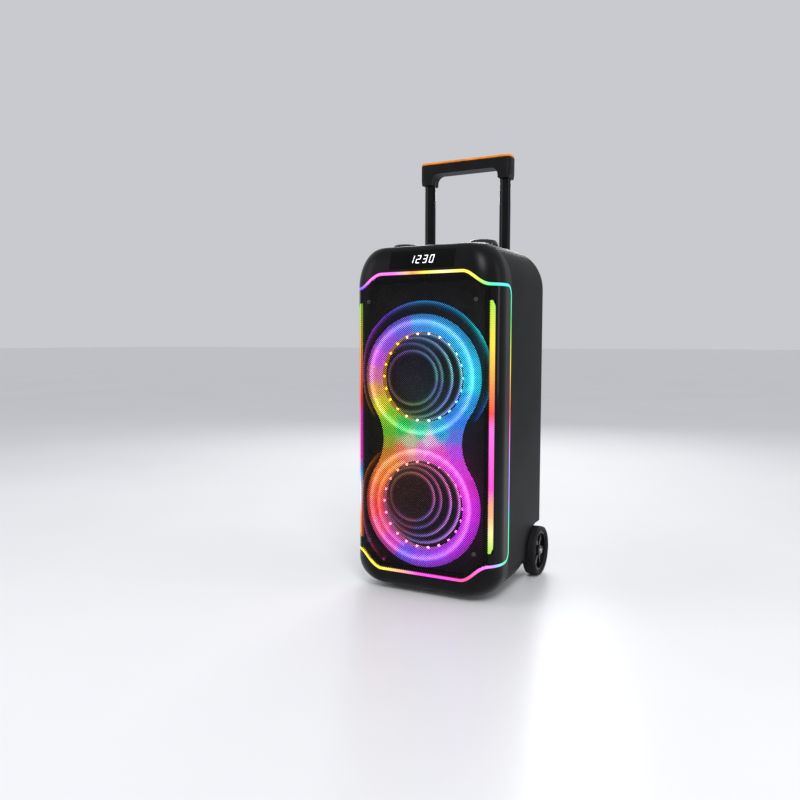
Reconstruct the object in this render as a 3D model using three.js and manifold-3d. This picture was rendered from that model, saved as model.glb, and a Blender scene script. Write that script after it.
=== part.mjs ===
// Trolley party speaker: an upright cabinet with two woofers behind a lit grille, a telescopic
// handle, two wheels and a control panel. Millimetres, +Z up, the front faces -Y, +X is on the
// right seen from the front. The origin is on the ground, under the middle of the cabinet.
import * as THREE from "three";
import { mergeVertices } from "three/addons/utils/BufferGeometryUtils.js";
import Module from "manifold-3d";

const wasm = await Module();
wasm.setup();

// ---------- driving dimensions ----------
const GAP = 0.3; // between pieces that touch
const BODY = {
  width: 272.6,
  depth: 268,
  bottom: 9,
  top: 600,
  wall: 4,
  frontCorner: 45,
  rearCorner: 28,
};
// Elliptical rounding of the top and the base: height, then how far each side leans in.
const CROWN = { height: 70, side: 40, front: 26, rearHeight: 62, rear: 75 };
const BASE = { height: 41, side: 44, front: 18, rear: 20 };
const SEAM = { fromFront: 67.5, bendStart: 60, overTop: 36 }; // front frame to rear cabinet
const LINER = { outer: 4.6, inner: 8, openingHalf: 112, ledge: 7 };

// The light strip runs round the grille: two level runs, S-bends to the shoulders, then back
// along the corners and down the seam.
const STRIP = {
  width: 4.6,
  thick: 4,
  topBelowTop: 47.5,
  bottomAbove: 30,
  bendFrom: 74,
  bendTo: 122,
  topDrop: 22.5,
  bottomRise: 26.5,
  turn: 16,
};
const BAR = { angle: 46.6, width: 8.8, belowTop: 96, above: 79, thick: 4 };
const GRILLE = { thick: 1.6, screwX: 99, screwBelowTop: 94.4, screwAbove: 77.7, screwR: 3.4 };
const CHEEK = { thick: 2.6 };

const DRIVER = { aboveBottom: 149, spacing: 219, bandR: 107, openingR: 76, waistHalf: 73 };
const DIFFUSER = { fromFront: 7, thick: 3.5 };
const LED_RING = { fromFront: 11.5, depth: 11, wall: 3.5 };
const RIPPLE = { fromFront: 19, thick: 2, within: [29, 15], shift: 20, width: 3, rib: 3 };
const BAFFLE = { fromFront: 26, thick: 9, halfWidth: 118, cutR: 72, above: 34, belowTop: 62 };
const WOOFER = {
  rimR: 84,
  rimThick: 5,
  backR: 46,
  depth: 48,
  magnetR: 45,
  magnetThick: 20,
  coneR: 57,
  coneDepth: 30,
  coilR: 19,
  surroundR: 69,
  capR: 20,
  travel: 3,
};

const DISPLAY = { half: 59.5, lowBelowTop: 40.4, highBelowTop: 10, skin: 1.6, boardThick: 2, boardBehind: 17 };
const KNOB = { x: 74, fromFront: 96, baseR: 26, topR: 21, height: 11, lift: 0.6, shaftR: 3 };
const BUTTON = { count: 4, pitch: 19, size: 13, rise: 1.6, fromFront: 96, panelX: 84, panelY: 30 };

const TUBE = { x: 75.5, fromFront: 201.6, r: 10.2, wall: 1.5, sleeveWall: 1.6, slack: 0.5, stow: 134, seat: 22 };
const GRIP = {
  raised: 134,
  height: 37.3,
  half: 89.5,
  halfDepth: 16.1,
  lobe: 27,
  archHeight: 20.2,
  corner: 8,
  inlay: 4.6,
};

const WHEEL = { r: 45.3, width: 24, outerX: 148.5, fromFront: 222, rimR: 36.5, hubR: 10, spokes: 6 };
const ARCH = { clear: 7, wall: 3 };
const AXLE = { r: 4, headR: 6, headThick: 2.4 };
const UNDERSIDE = { slopeFrom: 98, slopeTo: 146, rearHeight: 36 };
const FOOT = { x: 80, fromFront: 83, r: 12, high: 11 };

const REAR = {
  panelW: 118,
  panelH: 96,
  panelAbove: 309,
  recess: 7,
  plate: 3,
  lip: 2,
  portR: 30,
  portWall: 2.5,
  portLength: 95,
  portBelowTop: 122,
};

// ---------- places worked out from the dimensions ----------
const HALF_W = BODY.width / 2;
const FRONT = -BODY.depth / 2;
const REAR_Y = BODY.depth / 2;
const fromFront = (d) => FRONT + d;
const fromTop = (d) => BODY.top - d;
const aboveBase = (d) => BODY.bottom + d;
const rad = (deg) => (deg * Math.PI) / 180;
const CORNER_X = HALF_W - BODY.frontCorner;
const CORNER_Y = fromFront(BODY.frontCorner);
const FAR = 2 * (BODY.top + GRIP.raised);

const LOWER_Z = aboveBase(DRIVER.aboveBottom);
const UPPER_Z = LOWER_Z + DRIVER.spacing;
const DISPLAY_LOW = fromTop(DISPLAY.lowBelowTop);
const DISPLAY_HIGH = fromTop(DISPLAY.highBelowTop);
const PANEL_Z = aboveBase(REAR.panelAbove);
const PORT_Z = fromTop(REAR.portBelowTop);
const GRIP_BOTTOM = BODY.top + GRIP.raised;
const GRIP_TOP = GRIP_BOTTOM + GRIP.height;
const TUBE_Y = fromFront(TUBE.fromFront);
const SLEEVE_IN = TUBE.r + TUBE.slack;
const SLEEVE_OUT = SLEEVE_IN + TUBE.sleeveWall;
const WHEEL_Y = fromFront(WHEEL.fromFront);
const WHEEL_IN = WHEEL.outerX - WHEEL.width;
const ARCH_X = WHEEL.outerX - WHEEL.width - ARCH.wall - 3;

// ---------- geometry helpers ----------
const X = new THREE.Vector3(1, 0, 0);
const Y = new THREE.Vector3(0, 1, 0);
const Z = new THREE.Vector3(0, 0, 1);

// A three.js geometry as a manifold solid with its faces pointing out.
function solid(geometry) {
  const plain = new THREE.BufferGeometry();
  const source = geometry.index ? geometry.toNonIndexed() : geometry;
  plain.setAttribute("position", source.getAttribute("position").clone());
  const merged = mergeVertices(plain, 1e-4);
  const build = (triVerts) =>
    new wasm.Manifold(
      new wasm.Mesh({
        numProp: 3,
        vertProperties: new Float32Array(merged.attributes.position.array),
        triVerts,
      }),
    );
  const faces = new Uint32Array(merged.index.array);
  const made = build(faces);
  if (made.volume() >= 0) return made;
  for (let i = 0; i < faces.length; i += 3) [faces[i + 1], faces[i + 2]] = [faces[i + 2], faces[i + 1]];
  return build(faces);
}

// A manifold solid back as a three.js geometry.
function geometryOf(shape) {
  const mesh = shape.getMesh();
  const out = new THREE.BufferGeometry();
  const verts = new Float32Array(mesh.numVert * 3);
  for (let i = 0; i < mesh.numVert; i++) {
    for (let k = 0; k < 3; k++) verts[i * 3 + k] = mesh.vertProperties[i * mesh.numProp + k];
  }
  out.setAttribute("position", new THREE.BufferAttribute(verts, 3));
  out.setIndex(new THREE.BufferAttribute(new Uint32Array(mesh.triVerts), 1));
  out.computeVertexNormals();
  return out;
}

const join = (...shapes) => shapes.reduce((a, b) => a.add(b));

// An outline extruded along an axis. Points are [x, z] along y, [y, z] along x, [x, y] along z.
function prism(axis, points, lo, hi) {
  const turn = (list) => list.map(([u, v]) => (axis === "y" ? new THREE.Vector2(v, u) : new THREE.Vector2(u, v)));
  const body = new THREE.ExtrudeGeometry(new THREE.Shape(turn(points)), { depth: hi - lo, bevelEnabled: false });
  const basis = { x: [Y, Z, X], y: [Z, X, Y], z: [X, Y, Z] }[axis];
  body.applyMatrix4(new THREE.Matrix4().makeBasis(...basis));
  body.translate(...{ x: [lo, 0, 0], y: [0, lo, 0], z: [0, 0, lo] }[axis]);
  return solid(body);
}

// A profile of [radius, along] points turned about an axis through centre.
function turned(axis, profile, centre, sides = 32) {
  const body = new THREE.LatheGeometry(profile.map(([r, t]) => new THREE.Vector2(r, t)), sides);
  const basis = { x: [Z, X, Y], y: [X, Y, Z], z: [Y, Z, X] }[axis];
  body.applyMatrix4(new THREE.Matrix4().makeBasis(...basis));
  body.translate(...centre);
  return solid(body);
}

const rod = (axis, r, lo, hi, centre, sides = 24) =>
  turned(axis, [[0, lo], [r, lo], [r, hi], [0, hi]], centre, sides);

const pipe = (axis, inner, outer, lo, hi, centre, sides = 24) =>
  turned(axis, [[inner, lo], [outer, lo], [outer, hi], [inner, hi], [inner, lo]], centre, sides);

function block(lo, hi) {
  const box = new THREE.BoxGeometry(hi[0] - lo[0], hi[1] - lo[1], hi[2] - lo[2]);
  box.translate((hi[0] + lo[0]) / 2, (hi[1] + lo[1]) / 2, (hi[2] + lo[2]) / 2);
  return solid(box);
}

// Points round a rectangle with rounded corners, counter-clockwise.
function roundedRect(x0, y0, x1, y1, r, steps = 4) {
  const out = [];
  const corners = [[x0 + r, y0 + r, 180], [x1 - r, y0 + r, 270], [x1 - r, y1 - r, 0], [x0 + r, y1 - r, 90]];
  for (const [cx, cy, start] of corners) {
    for (let i = 0; i <= steps; i++) {
      const a = rad(start + (90 * i) / steps);
      out.push([cx + r * Math.cos(a), cy + r * Math.sin(a)]);
    }
  }
  return out;
}

// ---------- the body's outer form ----------
// How far an ellipse of the given height and depth leans in at a distance t into it.
const lean = (t, height, depth) => depth * (1 - Math.sqrt(Math.max(0, 1 - Math.min(1, t / height) ** 2)));

// The level section of the body at height z, pulled in by skin, counter-clockwise from above.
function section(z, skin) {
  const up = z - (BODY.top - skin);
  const down = BODY.bottom + skin - z;
  const crown = (height, depth) => lean(Math.max(0, up + height - skin), height - skin, depth - skin);
  const base = (depth) => lean(Math.max(0, down + BASE.height - skin), BASE.height - skin, depth - skin);
  const side = skin + crown(CROWN.height, CROWN.side) + base(BASE.side);
  const front = skin + crown(CROWN.height, CROWN.front) + base(BASE.front + skin);
  const rear = skin + crown(CROWN.rearHeight, CROWN.rear) + base(BASE.rear + skin);
  const w = HALF_W - side;
  const y0 = FRONT + front;
  const y1 = REAR_Y - rear;
  const shrink = 0.6 * skin + 0.4 * side;
  const corner = (r) => Math.max(6, r - shrink);
  const rf = corner(BODY.frontCorner);
  const rr = corner(BODY.rearCorner);
  const corners = [
    [-w + rf, y0 + rf, rf, 180, 8],
    [w - rf, y0 + rf, rf, 270, 8],
    [w - rr, y1 - rr, rr, 0, 4],
    [-w + rr, y1 - rr, rr, 90, 4],
  ];
  const ring = [];
  for (const [cx, cy, r, start, steps] of corners) {
    for (let i = 0; i <= steps; i++) {
      const a = rad(start + (90 * i) / steps);
      ring.push([cx + r * Math.cos(a), cy + r * Math.sin(a)]);
    }
  }
  return ring;
}

// The closed body form, pulled in by skin on every side.
function form(skin) {
  const levels = [];
  const low = BODY.bottom + skin;
  const high = BODY.top - skin;
  const baseRise = BASE.height - skin;
  const crownRise = CROWN.height - skin;
  for (let i = 0; i <= 4; i++) levels.push(low + baseRise * (1 - Math.cos(rad(22.5 * i))));
  for (let i = 0; i <= 6; i++) levels.push(high - crownRise * (1 - Math.sin(rad(15 * i))));
  const rings = levels.map((z) => section(z, skin).map(([x, y]) => [x, y, z]));
  const n = rings[0].length;
  const index = [];
  for (let i = 0; i + 1 < rings.length; i++) {
    for (let j = 0; j < n; j++) {
      const k = (j + 1) % n;
      index.push(i * n + j, i * n + k, (i + 1) * n + k);
      index.push(i * n + j, (i + 1) * n + k, (i + 1) * n + j);
    }
  }
  const last = (rings.length - 1) * n;
  for (let j = 1; j + 1 < n; j++) {
    index.push(0, j + 1, j);
    index.push(last, last + j, last + j + 1);
  }
  const body = new THREE.BufferGeometry();
  body.setAttribute("position", new THREE.Float32BufferAttribute(rings.flat(2), 3));
  body.setIndex(index);
  return solid(body);
}

// The layer of the body's skin between two depths.
const layer = (outer, inner) => form(outer).subtract(form(inner));

// Everything in front of the seam, moved by shift.
function aheadOfSeam(shift) {
  const y = fromFront(SEAM.fromFront) + shift;
  const yTop = fromFront(SEAM.overTop) + shift;
  const bend = fromTop(SEAM.bendStart);
  const curve = new THREE.QuadraticBezierCurve(
    new THREE.Vector2(y, bend),
    new THREE.Vector2(y, bend + 0.62 * SEAM.bendStart),
    new THREE.Vector2(yTop, BODY.top),
  );
  const outline = curve.getPoints(6).map((p) => [p.x, p.y]);
  return prism("x", [[-FAR, -FAR], [y, -FAR], ...outline, [yTop, FAR], [-FAR, FAR]], -FAR, FAR);
}

// Height of the strip's centre line over x: a level run, an S-bend and a level shoulder.
function stripLine(x, level, shoulder) {
  const t = THREE.MathUtils.clamp((Math.abs(x) - STRIP.bendFrom) / (STRIP.bendTo - STRIP.bendFrom), 0, 1);
  return level + ((shoulder - level) * (1 - Math.cos(Math.PI * t))) / 2;
}

const STRIP_TOP = fromTop(STRIP.topBelowTop);
const STRIP_BOTTOM = aboveBase(STRIP.bottomAbove);
const SHOULDER_TOP = STRIP_TOP - STRIP.topDrop;
const SHOULDER_BOTTOM = STRIP_BOTTOM + STRIP.bottomRise;

// Everything inside the strip's centre line, grown by grow across it.
function insideStrip(grow) {
  const steps = 7;
  const xs = [-HALF_W - 60];
  for (let i = 0; i <= steps; i++) xs.push(-STRIP.bendTo + ((STRIP.bendTo - STRIP.bendFrom) * i) / steps);
  for (let i = 0; i <= steps; i++) xs.push(STRIP.bendFrom + ((STRIP.bendTo - STRIP.bendFrom) * i) / steps);
  xs.push(HALF_W + 60);
  const offset = (level, shoulder, sign) =>
    xs.map((x) => {
      const slope = (stripLine(x + 0.5, level, shoulder) - stripLine(x - 0.5, level, shoulder)) * sign;
      const scale = (sign * grow) / Math.hypot(1, slope);
      return [x - slope * sign * scale, stripLine(x, level, shoulder) + scale];
    });
  const top = offset(STRIP_TOP, SHOULDER_TOP, 1);
  const bottom = offset(STRIP_BOTTOM, SHOULDER_BOTTOM, -1);
  const face = prism("y", [...bottom, ...top.reverse()], -FAR, FAR);
  const y = fromFront(SEAM.fromFront) + grow;
  const side = prism(
    "x",
    roundedRect(FRONT - 300, SHOULDER_BOTTOM - grow, y, SHOULDER_TOP + grow, STRIP.turn + grow, 4),
    -FAR,
    FAR,
  );
  const middle = block([-STRIP.bendTo, -FAR, -FAR], [STRIP.bendTo, fromFront(BODY.frontCorner), FAR]);
  return face.intersect(join(side, middle));
}

// Everything outside a plane that stands on the front corner's axis, at an angle from straight
// ahead, on the side given by sign.
function outsideCorner(sign, angle) {
  const edge = [CORNER_X + 200 * Math.sin(rad(angle)), CORNER_Y - 200 * Math.cos(rad(angle))];
  const points = [[CORNER_X, CORNER_Y], edge, [FAR, -FAR], [FAR, FAR], [CORNER_X, FAR]];
  return prism("z", points.map(([x, y]) => [sign * x, y]), -FAR, FAR);
}

const BAR_HALF_ANGLE = (BAR.width / 2 / BODY.frontCorner) * (180 / Math.PI);
const GAP_ANGLE = (GAP / BODY.frontCorner) * (180 / Math.PI);

// The upright slot of a light bar on one corner, grown by a gap.
function barRegion(sign, grow) {
  const more = (grow / BODY.frontCorner) * (180 / Math.PI);
  const outer = outsideCorner(sign, BAR.angle - BAR_HALF_ANGLE - more);
  const inner = outsideCorner(sign, BAR.angle + BAR_HALF_ANGLE + more);
  const height = block([-FAR, -FAR, aboveBase(BAR.above) - grow], [FAR, FAR, fromTop(BAR.belowTop) + grow]);
  return outer.subtract(inner).intersect(height);
}

// ---------- the group and its materials ----------
const speaker = new THREE.Group();

function add(name, shape, colour, roughness = 0.5, metalness = 0, opacity = 1) {
  const material = new THREE.MeshStandardMaterial({ color: colour, roughness, metalness });
  material.opacity = opacity;
  material.transparent = opacity < 1;
  const mesh = new THREE.Mesh(shape.isBufferGeometry ? shape : geometryOf(shape), material);
  mesh.name = name;
  speaker.add(mesh);
}

const SATIN = 0x141415;
const GLOSS = 0x060607;
const STEEL = 0x9a9c9f;
const GREEN_BOARD = 0x1d5a36;

// ---------- cuts that the shells share ----------
const wheelArch = (sign, grow) => {
  const r = WHEEL.r + ARCH.clear + grow;
  const inner = ARCH_X - grow;
  const lo = sign > 0 ? inner : -FAR;
  const hi = sign > 0 ? FAR : -inner;
  const round = rod("x", r, lo, hi, [0, WHEEL_Y, WHEEL.r], 28);
  const behind = block([lo, WHEEL_Y, -FAR], [hi, FAR, WHEEL.r + r]);
  return join(round, behind);
};

// The space under the body that lets it lean back on its wheels.
function underside(grow) {
  const y0 = fromFront(UNDERSIDE.slopeFrom) - grow;
  const y1 = fromFront(UNDERSIDE.slopeTo) - grow;
  const z1 = UNDERSIDE.rearHeight + grow;
  return prism("x", [[y0, -FAR], [y0, BODY.bottom], [y1, z1], [FAR, z1], [FAR, -FAR]], -FAR, FAR);
}

const sides = [["left", -1], ["right", 1]];

function screwPlaces() {
  const out = [];
  for (const [side, sign] of sides) {
    out.push([`upper_${side}`, sign * GRILLE.screwX, fromTop(GRILLE.screwBelowTop)]);
    out.push([`lower_${side}`, sign * GRILLE.screwX, aboveBase(GRILLE.screwAbove)]);
  }
  return out;
}

const displayRegion = (grow) => {
  const top = DISPLAY.half + grow;
  return prism("y", roundedRect(-top, DISPLAY_LOW - grow, top, DISPLAY_HIGH + grow, 3), -FAR, 0);
};

// ---------- shells ----------
function frontFrame() {
  const ahead = aheadOfSeam(-GAP / 2);
  const skin = layer(0, LINER.outer).subtract(insideStrip(STRIP.width / 2 + GAP));
  const opening = insideStrip(-LINER.ledge).intersect(
    block([-LINER.openingHalf, -FAR, -FAR], [LINER.openingHalf, FAR, FAR]),
  );
  const liner = layer(LINER.outer - 0.01, LINER.inner).subtract(opening);
  let frame = join(skin, liner).intersect(ahead);
  frame = frame.subtract(displayRegion(GAP).intersect(layer(-1, DISPLAY.skin + GAP)));
  const windowBack = prism(
    "y",
    roundedRect(-DISPLAY.half + 6, DISPLAY_LOW + 4, DISPLAY.half - 6, DISPLAY_HIGH - 4, 2),
    -FAR,
    0,
  );
  return frame.subtract(windowBack);
}

function rearCabinet() {
  const outer = form(0).subtract(underside(0)).subtract(wheelArch(-1, 0)).subtract(wheelArch(1, 0));
  const inner = form(BODY.wall)
    .subtract(underside(BODY.wall))
    .subtract(wheelArch(-1, ARCH.wall))
    .subtract(wheelArch(1, ARCH.wall));
  let cabinet = outer.subtract(inner).subtract(aheadOfSeam(GAP / 2));
  cabinet = cabinet.subtract(insideStrip(STRIP.width / 2 + GAP).intersect(layer(-1, BODY.wall + 2)));
  for (const [, sign] of sides) {
    const x = sign * TUBE.x;
    cabinet = cabinet.subtract(rod("z", SLEEVE_OUT + GAP, fromTop(40), FAR, [x, TUBE_Y, 0], 32));
    const knob = [sign * KNOB.x, fromFront(KNOB.fromFront), 0];
    cabinet = cabinet.subtract(rod("z", KNOB.shaftR + GAP, fromTop(20), FAR, knob, 20));
  }
  cabinet = cabinet.subtract(rod("x", AXLE.r + GAP, -FAR, FAR, [0, WHEEL_Y, WHEEL.r], 20));
  const y = fromFront(BUTTON.fromFront);
  const px = BUTTON.panelX / 2 + GAP;
  const py = BUTTON.panelY / 2 + GAP;
  cabinet = cabinet.subtract(block([-px, y - py, fromTop(20)], [px, y + py, FAR]));
  const z = PANEL_Z;
  const w = REAR.panelW / 2;
  const h = REAR.panelH / 2;
  const back = REAR_Y - REAR.recess - REAR.plate - GAP;
  const cup = block([-w - 3, back - 3, z - h - 3], [w + 3, REAR_Y - 2, z + h + 3]);
  const mouth = block([-w, back, z - h], [w, FAR, z + h]);
  const through = block([-w + REAR.lip, -20, z - h + REAR.lip], [w - REAR.lip, FAR, z + h - REAR.lip]);
  cabinet = join(cabinet, cup).subtract(mouth).subtract(through.intersect(block([-FAR, back - 4, 0], [FAR, FAR, FAR])));
  const port = [0, 0, PORT_Z];
  return cabinet.subtract(rod("y", REAR.portR + REAR.portWall + GAP, 0, FAR, port, 24));
}

add("front_frame", frontFrame(), SATIN, 0.42);
add("rear_cabinet", rearCabinet(), SATIN, 0.48);

// ---------- front: grille, light strip, light bars, cheeks and display ----------
function grille() {
  let shape = layer(0, GRILLE.thick).intersect(insideStrip(-STRIP.width / 2 - GAP));
  shape = shape.intersect(aheadOfSeam(-GAP));
  for (const [, sign] of sides) {
    shape = shape.subtract(outsideCorner(sign, BAR.angle - BAR_HALF_ANGLE - GAP_ANGLE));
  }
  for (const [, x, z] of screwPlaces()) {
    shape = shape.subtract(rod("y", GRILLE.screwR + GAP, -FAR, 0, [x, 0, z], 16));
  }
  return shape;
}

function cheek(sign) {
  return layer(0, CHEEK.thick)
    .intersect(insideStrip(-STRIP.width / 2 - GAP))
    .intersect(outsideCorner(sign, BAR.angle - BAR_HALF_ANGLE))
    .subtract(barRegion(sign, GAP));
}

function outlineStrip() {
  const band = insideStrip(STRIP.width / 2).subtract(insideStrip(-STRIP.width / 2));
  return layer(0, STRIP.thick).intersect(band);
}

function grilleScrew(x, z) {
  const face = FRONT + 0.4;
  const r = GRILLE.screwR;
  const profile = [[0, 1.2], [r * 0.45, 1.2], [r * 0.55, 0], [r * 0.85, 0], [r, 0.7], [r, 3.9], [0, 3.9]];
  return turned("y", profile, [x, face, z], 16);
}

add("front_grille", grille(), 0x0c0c0d, 0.6, 0.4);
add("outline_light_strip", outlineStrip(), 0xff4fd0, 0.3);
for (const [side, sign] of sides) {
  const bar = layer(0, BAR.thick).intersect(barRegion(sign, 0));
  add(`light_bar_${side}`, bar, 0xffd21f, 0.3);
  add(`cheek_panel_${side}`, cheek(sign), 0x0d0d0e, 0.25);
}
for (const [place, x, z] of screwPlaces()) add(`grille_screw_${place}`, grilleScrew(x, z), STEEL, 0.35, 1);

const displayWindow = displayRegion(0).intersect(layer(0.1, DISPLAY.skin));
add("display_window", displayWindow, GLOSS, 0.08);

// The display board stands behind its window, leaning back with it.
function displayBoard() {
  const mid = (DISPLAY_LOW + DISPLAY_HIGH) / 2;
  const y = fromFront(DISPLAY.boardBehind);
  return block([-DISPLAY.half + 10, y, mid - 10], [DISPLAY.half - 10, y + DISPLAY.boardThick, mid + 9]);
}
add("display_board", displayBoard(), GREEN_BOARD, 0.6);

// ---------- the lit figure eight, the LED rings and the ripple rings ----------
// Outline of two lobes joined by a waist whose arcs touch both lobes.
function figureEight() {
  const half = DRIVER.spacing / 2;
  const mid = (LOWER_Z + UPPER_Z) / 2;
  const R = DRIVER.bandR;
  const waist = DRIVER.waistHalf;
  // The waist arc's centre is at (waist + r, mid), and its distance to a lobe centre is R + r.
  const r = (R * R - half * half - waist * waist) / (2 * (waist - R));
  const touch = Math.atan2(half, waist + r);
  const steps = 16;
  const points = [];
  const arc = (cx, cz, radius, from, to, count) => {
    for (let i = 0; i < count; i++) {
      const a = from + ((to - from) * i) / count;
      points.push([cx + radius * Math.cos(a), cz + radius * Math.sin(a)]);
    }
  };
  arc(0, mid + half, R, -touch, Math.PI + touch, steps);
  arc(-waist - r, mid, r, touch, -touch, 8);
  arc(0, mid - half, R, Math.PI - touch, 2 * Math.PI + touch, steps);
  arc(waist + r, mid, r, Math.PI + touch, Math.PI - touch, 8);
  return points;
}

const lobes = [["lower", LOWER_Z], ["upper", UPPER_Z]];

function diffuser() {
  const y = fromFront(DIFFUSER.fromFront);
  const plate = prism("y", figureEight(), y, y + DIFFUSER.thick);
  return lobes.reduce((rest, [, z]) => rest.subtract(rod("y", DRIVER.openingR, y - 1, 0, [0, 0, z], 28)), plate);
}
add("figure_eight_diffuser", diffuser(), 0xd8d8f4, 0.4);

// Each ripple guard: rings of growing size whose centres drift to one side, on cross ribs.
function rippleGuard(z) {
  const y = fromFront(RIPPLE.fromFront);
  const outer = DRIVER.openingR - GAP;
  const ringOf = (cx, r) => pipe("y", r - RIPPLE.width, r, y, y + RIPPLE.thick, [cx, 0, z], 28);
  let guard = ringOf(0, outer);
  const radii = RIPPLE.within.map((step) => DRIVER.openingR - step);
  radii.forEach((r, i) => {
    const drift = -RIPPLE.shift * (1 - i / radii.length) * ((outer - r) / (outer - radii[0]));
    guard = guard.add(ringOf(drift, r));
  });
  const inner = radii[0] - RIPPLE.width;
  for (let i = 0; i < 3; i++) {
    const rib = block([-outer + 1, y + 0.3, -RIPPLE.rib / 2], [outer - 1, y + RIPPLE.thick - 0.2, RIPPLE.rib / 2]);
    guard = guard.add(rib.rotate([0, 60 * i + 30, 0]).translate([0, 0, z]));
  }
  const middle = rod("y", inner, y - 1, y + RIPPLE.thick + 1, [-RIPPLE.shift, 0, z], 24);
  return guard.subtract(middle);
}

for (const [place, z] of lobes) {
  const y = fromFront(LED_RING.fromFront);
  const inner = DRIVER.openingR;
  const ring = pipe("y", inner, inner + LED_RING.wall, y, y + LED_RING.depth, [0, 0, z], 28);
  add(`led_ring_${place}`, ring, 0xffe9c9, 0.4);
  add(`ripple_guard_${place}`, rippleGuard(z), 0x101418, 0.2);
}

// ---------- baffle and woofers ----------
function baffle() {
  const y = fromFront(BAFFLE.fromFront);
  const outline = roundedRect(-BAFFLE.halfWidth, aboveBase(BAFFLE.above), BAFFLE.halfWidth, fromTop(BAFFLE.belowTop), 14);
  const board = prism("y", outline, y, y + BAFFLE.thick).intersect(form(LINER.inner + 1));
  return lobes.reduce((rest, [, z]) => rest.subtract(rod("y", BAFFLE.cutR, y - 1, 0, [0, 0, z], 28)), board);
}
add("baffle_board", baffle(), 0x2a2622, 0.8);

const BAFFLE_BACK = fromFront(BAFFLE.fromFront + BAFFLE.thick) + GAP;

function basket(z) {
  const w = WOOFER;
  const deep = w.rimThick + w.depth;
  const wall = 3;
  const straight = w.rimThick + w.travel + 2.5; // so that the surround can move back freely
  const profile = [
    [w.surroundR + 1, 0],
    [w.rimR, 0],
    [w.rimR, w.rimThick],
    [w.surroundR + 2 + wall, w.rimThick],
    [w.surroundR + 2 + wall, straight],
    [w.backR + 1, deep],
    [w.coilR + 2, deep],
    [w.coilR + 2, deep - wall],
    [w.backR - 1, deep - wall],
    [w.surroundR + 1, straight],
    [w.surroundR + 1, 0],
  ];
  let shape = turned("y", profile, [0, BAFFLE_BACK, z], 20);
  for (let i = 0; i < 6; i++) {
    const a = rad(60 * i);
    const mid = (w.backR + w.surroundR) / 2 + 2;
    const slot = rod("y", 9, w.rimThick + 12, deep - wall - 8, [mid * Math.cos(a), BAFFLE_BACK, z + mid * Math.sin(a)], 6);
    shape = shape.subtract(slot);
  }
  return shape;
}

function magnet(z) {
  const y = WOOFER.rimThick + WOOFER.depth + GAP;
  const t = WOOFER.magnetThick;
  const r = WOOFER.magnetR;
  const profile = [
    [0, 4],
    [WOOFER.coilR + 2, 4],
    [WOOFER.coilR + 2, 0],
    [r - 4, 0],
    [r - 4, 4],
    [r, 5],
    [r, t - 5],
    [r - 5, t],
    [0, t],
  ];
  return turned("y", profile, [0, BAFFLE_BACK + y, z], 20);
}

// The cone with its dust cap and the coil former that rides in the magnet's gap.
function cone(z) {
  const w = WOOFER;
  const y0 = w.rimThick;
  const bottom = y0 + w.coneDepth;
  const former = w.rimThick + w.depth - 6;
  const profile = [
    [0, bottom - 12],
    [w.capR * 0.6, bottom - 9],
    [w.capR, bottom - 2],
    [w.coneR, y0],
    [w.coneR + 1.5, y0 + 1.5],
    [w.coilR + 1, bottom + 3],
    [w.coilR, former],
    [w.coilR - 1.5, former],
    [w.coilR - 1.5, bottom + 2],
    [0, bottom + 2],
  ];
  return turned("y", profile, [0, BAFFLE_BACK, z], 20);
}

// The rubber roll between the cone and the rim.
function surround(z) {
  const w = WOOFER;
  const a = w.coneR + 1.8;
  const b = w.surroundR + 0.6;
  const mid = (a + b) / 2;
  const y = w.rimThick - 1;
  const roll = [];
  for (let i = 0; i <= 4; i++) {
    const t = Math.PI * (1 - i / 4);
    roll.push([mid + ((b - a) / 2) * Math.cos(t), y - 4 * Math.sin(t)]);
  }
  const profile = [...roll, [b, y + 1.5], [mid, y - 1.6], [a, y + 1.5], roll[0]];
  return turned("y", profile, [0, BAFFLE_BACK + 1.2, z], 20);
}

for (const [place, z] of lobes) {
  add(`woofer_basket_${place}`, basket(z), 0x202123, 0.5, 0.6);
  add(`woofer_magnet_${place}`, magnet(z), 0x55585c, 0.5, 0.8);
  add(`woofer_cone_${place}`, cone(z), 0x17181a, 0.7);
  add(`woofer_surround_${place}`, surround(z), 0x0d0d0d, 0.8);
}

// ---------- top: knobs, button panel and buttons ----------
function knob(sign) {
  const k = KNOB;
  const z0 = k.lift;
  const profile = [
    [0, -24],
    [k.shaftR, -24],
    [k.shaftR, z0],
    [k.baseR - 1, z0],
    [k.baseR, z0 + 1.5],
    [k.baseR - 1, k.height - 5],
    [k.topR, k.height - 0.6],
    [k.topR - 2, k.height],
    [0, k.height - 0.8],
  ];
  return turned("z", profile, [sign * k.x, fromFront(k.fromFront), BODY.top], 24);
}

const PANEL_TOP = BODY.top - 0.2;
const buttonX = (i) => (i - (BUTTON.count - 1) / 2) * BUTTON.pitch;

// Outline of one round-cornered button, or of its hole when grown by a gap.
function buttonOutline(i, grow) {
  const h = BUTTON.size / 2 + grow;
  const y = fromFront(BUTTON.fromFront);
  return roundedRect(buttonX(i) - h, y - h, buttonX(i) + h, y + h, 3, 2);
}

function buttonPanel() {
  const w = BUTTON.panelX / 2;
  const d = BUTTON.panelY / 2;
  const y = fromFront(BUTTON.fromFront);
  let panel = block([-w, y - d, PANEL_TOP - 3], [w, y + d, PANEL_TOP]);
  for (let i = 0; i < BUTTON.count; i++) {
    panel = panel.subtract(prism("z", buttonOutline(i, GAP), PANEL_TOP - 9, PANEL_TOP + 9));
  }
  return panel;
}

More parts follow.
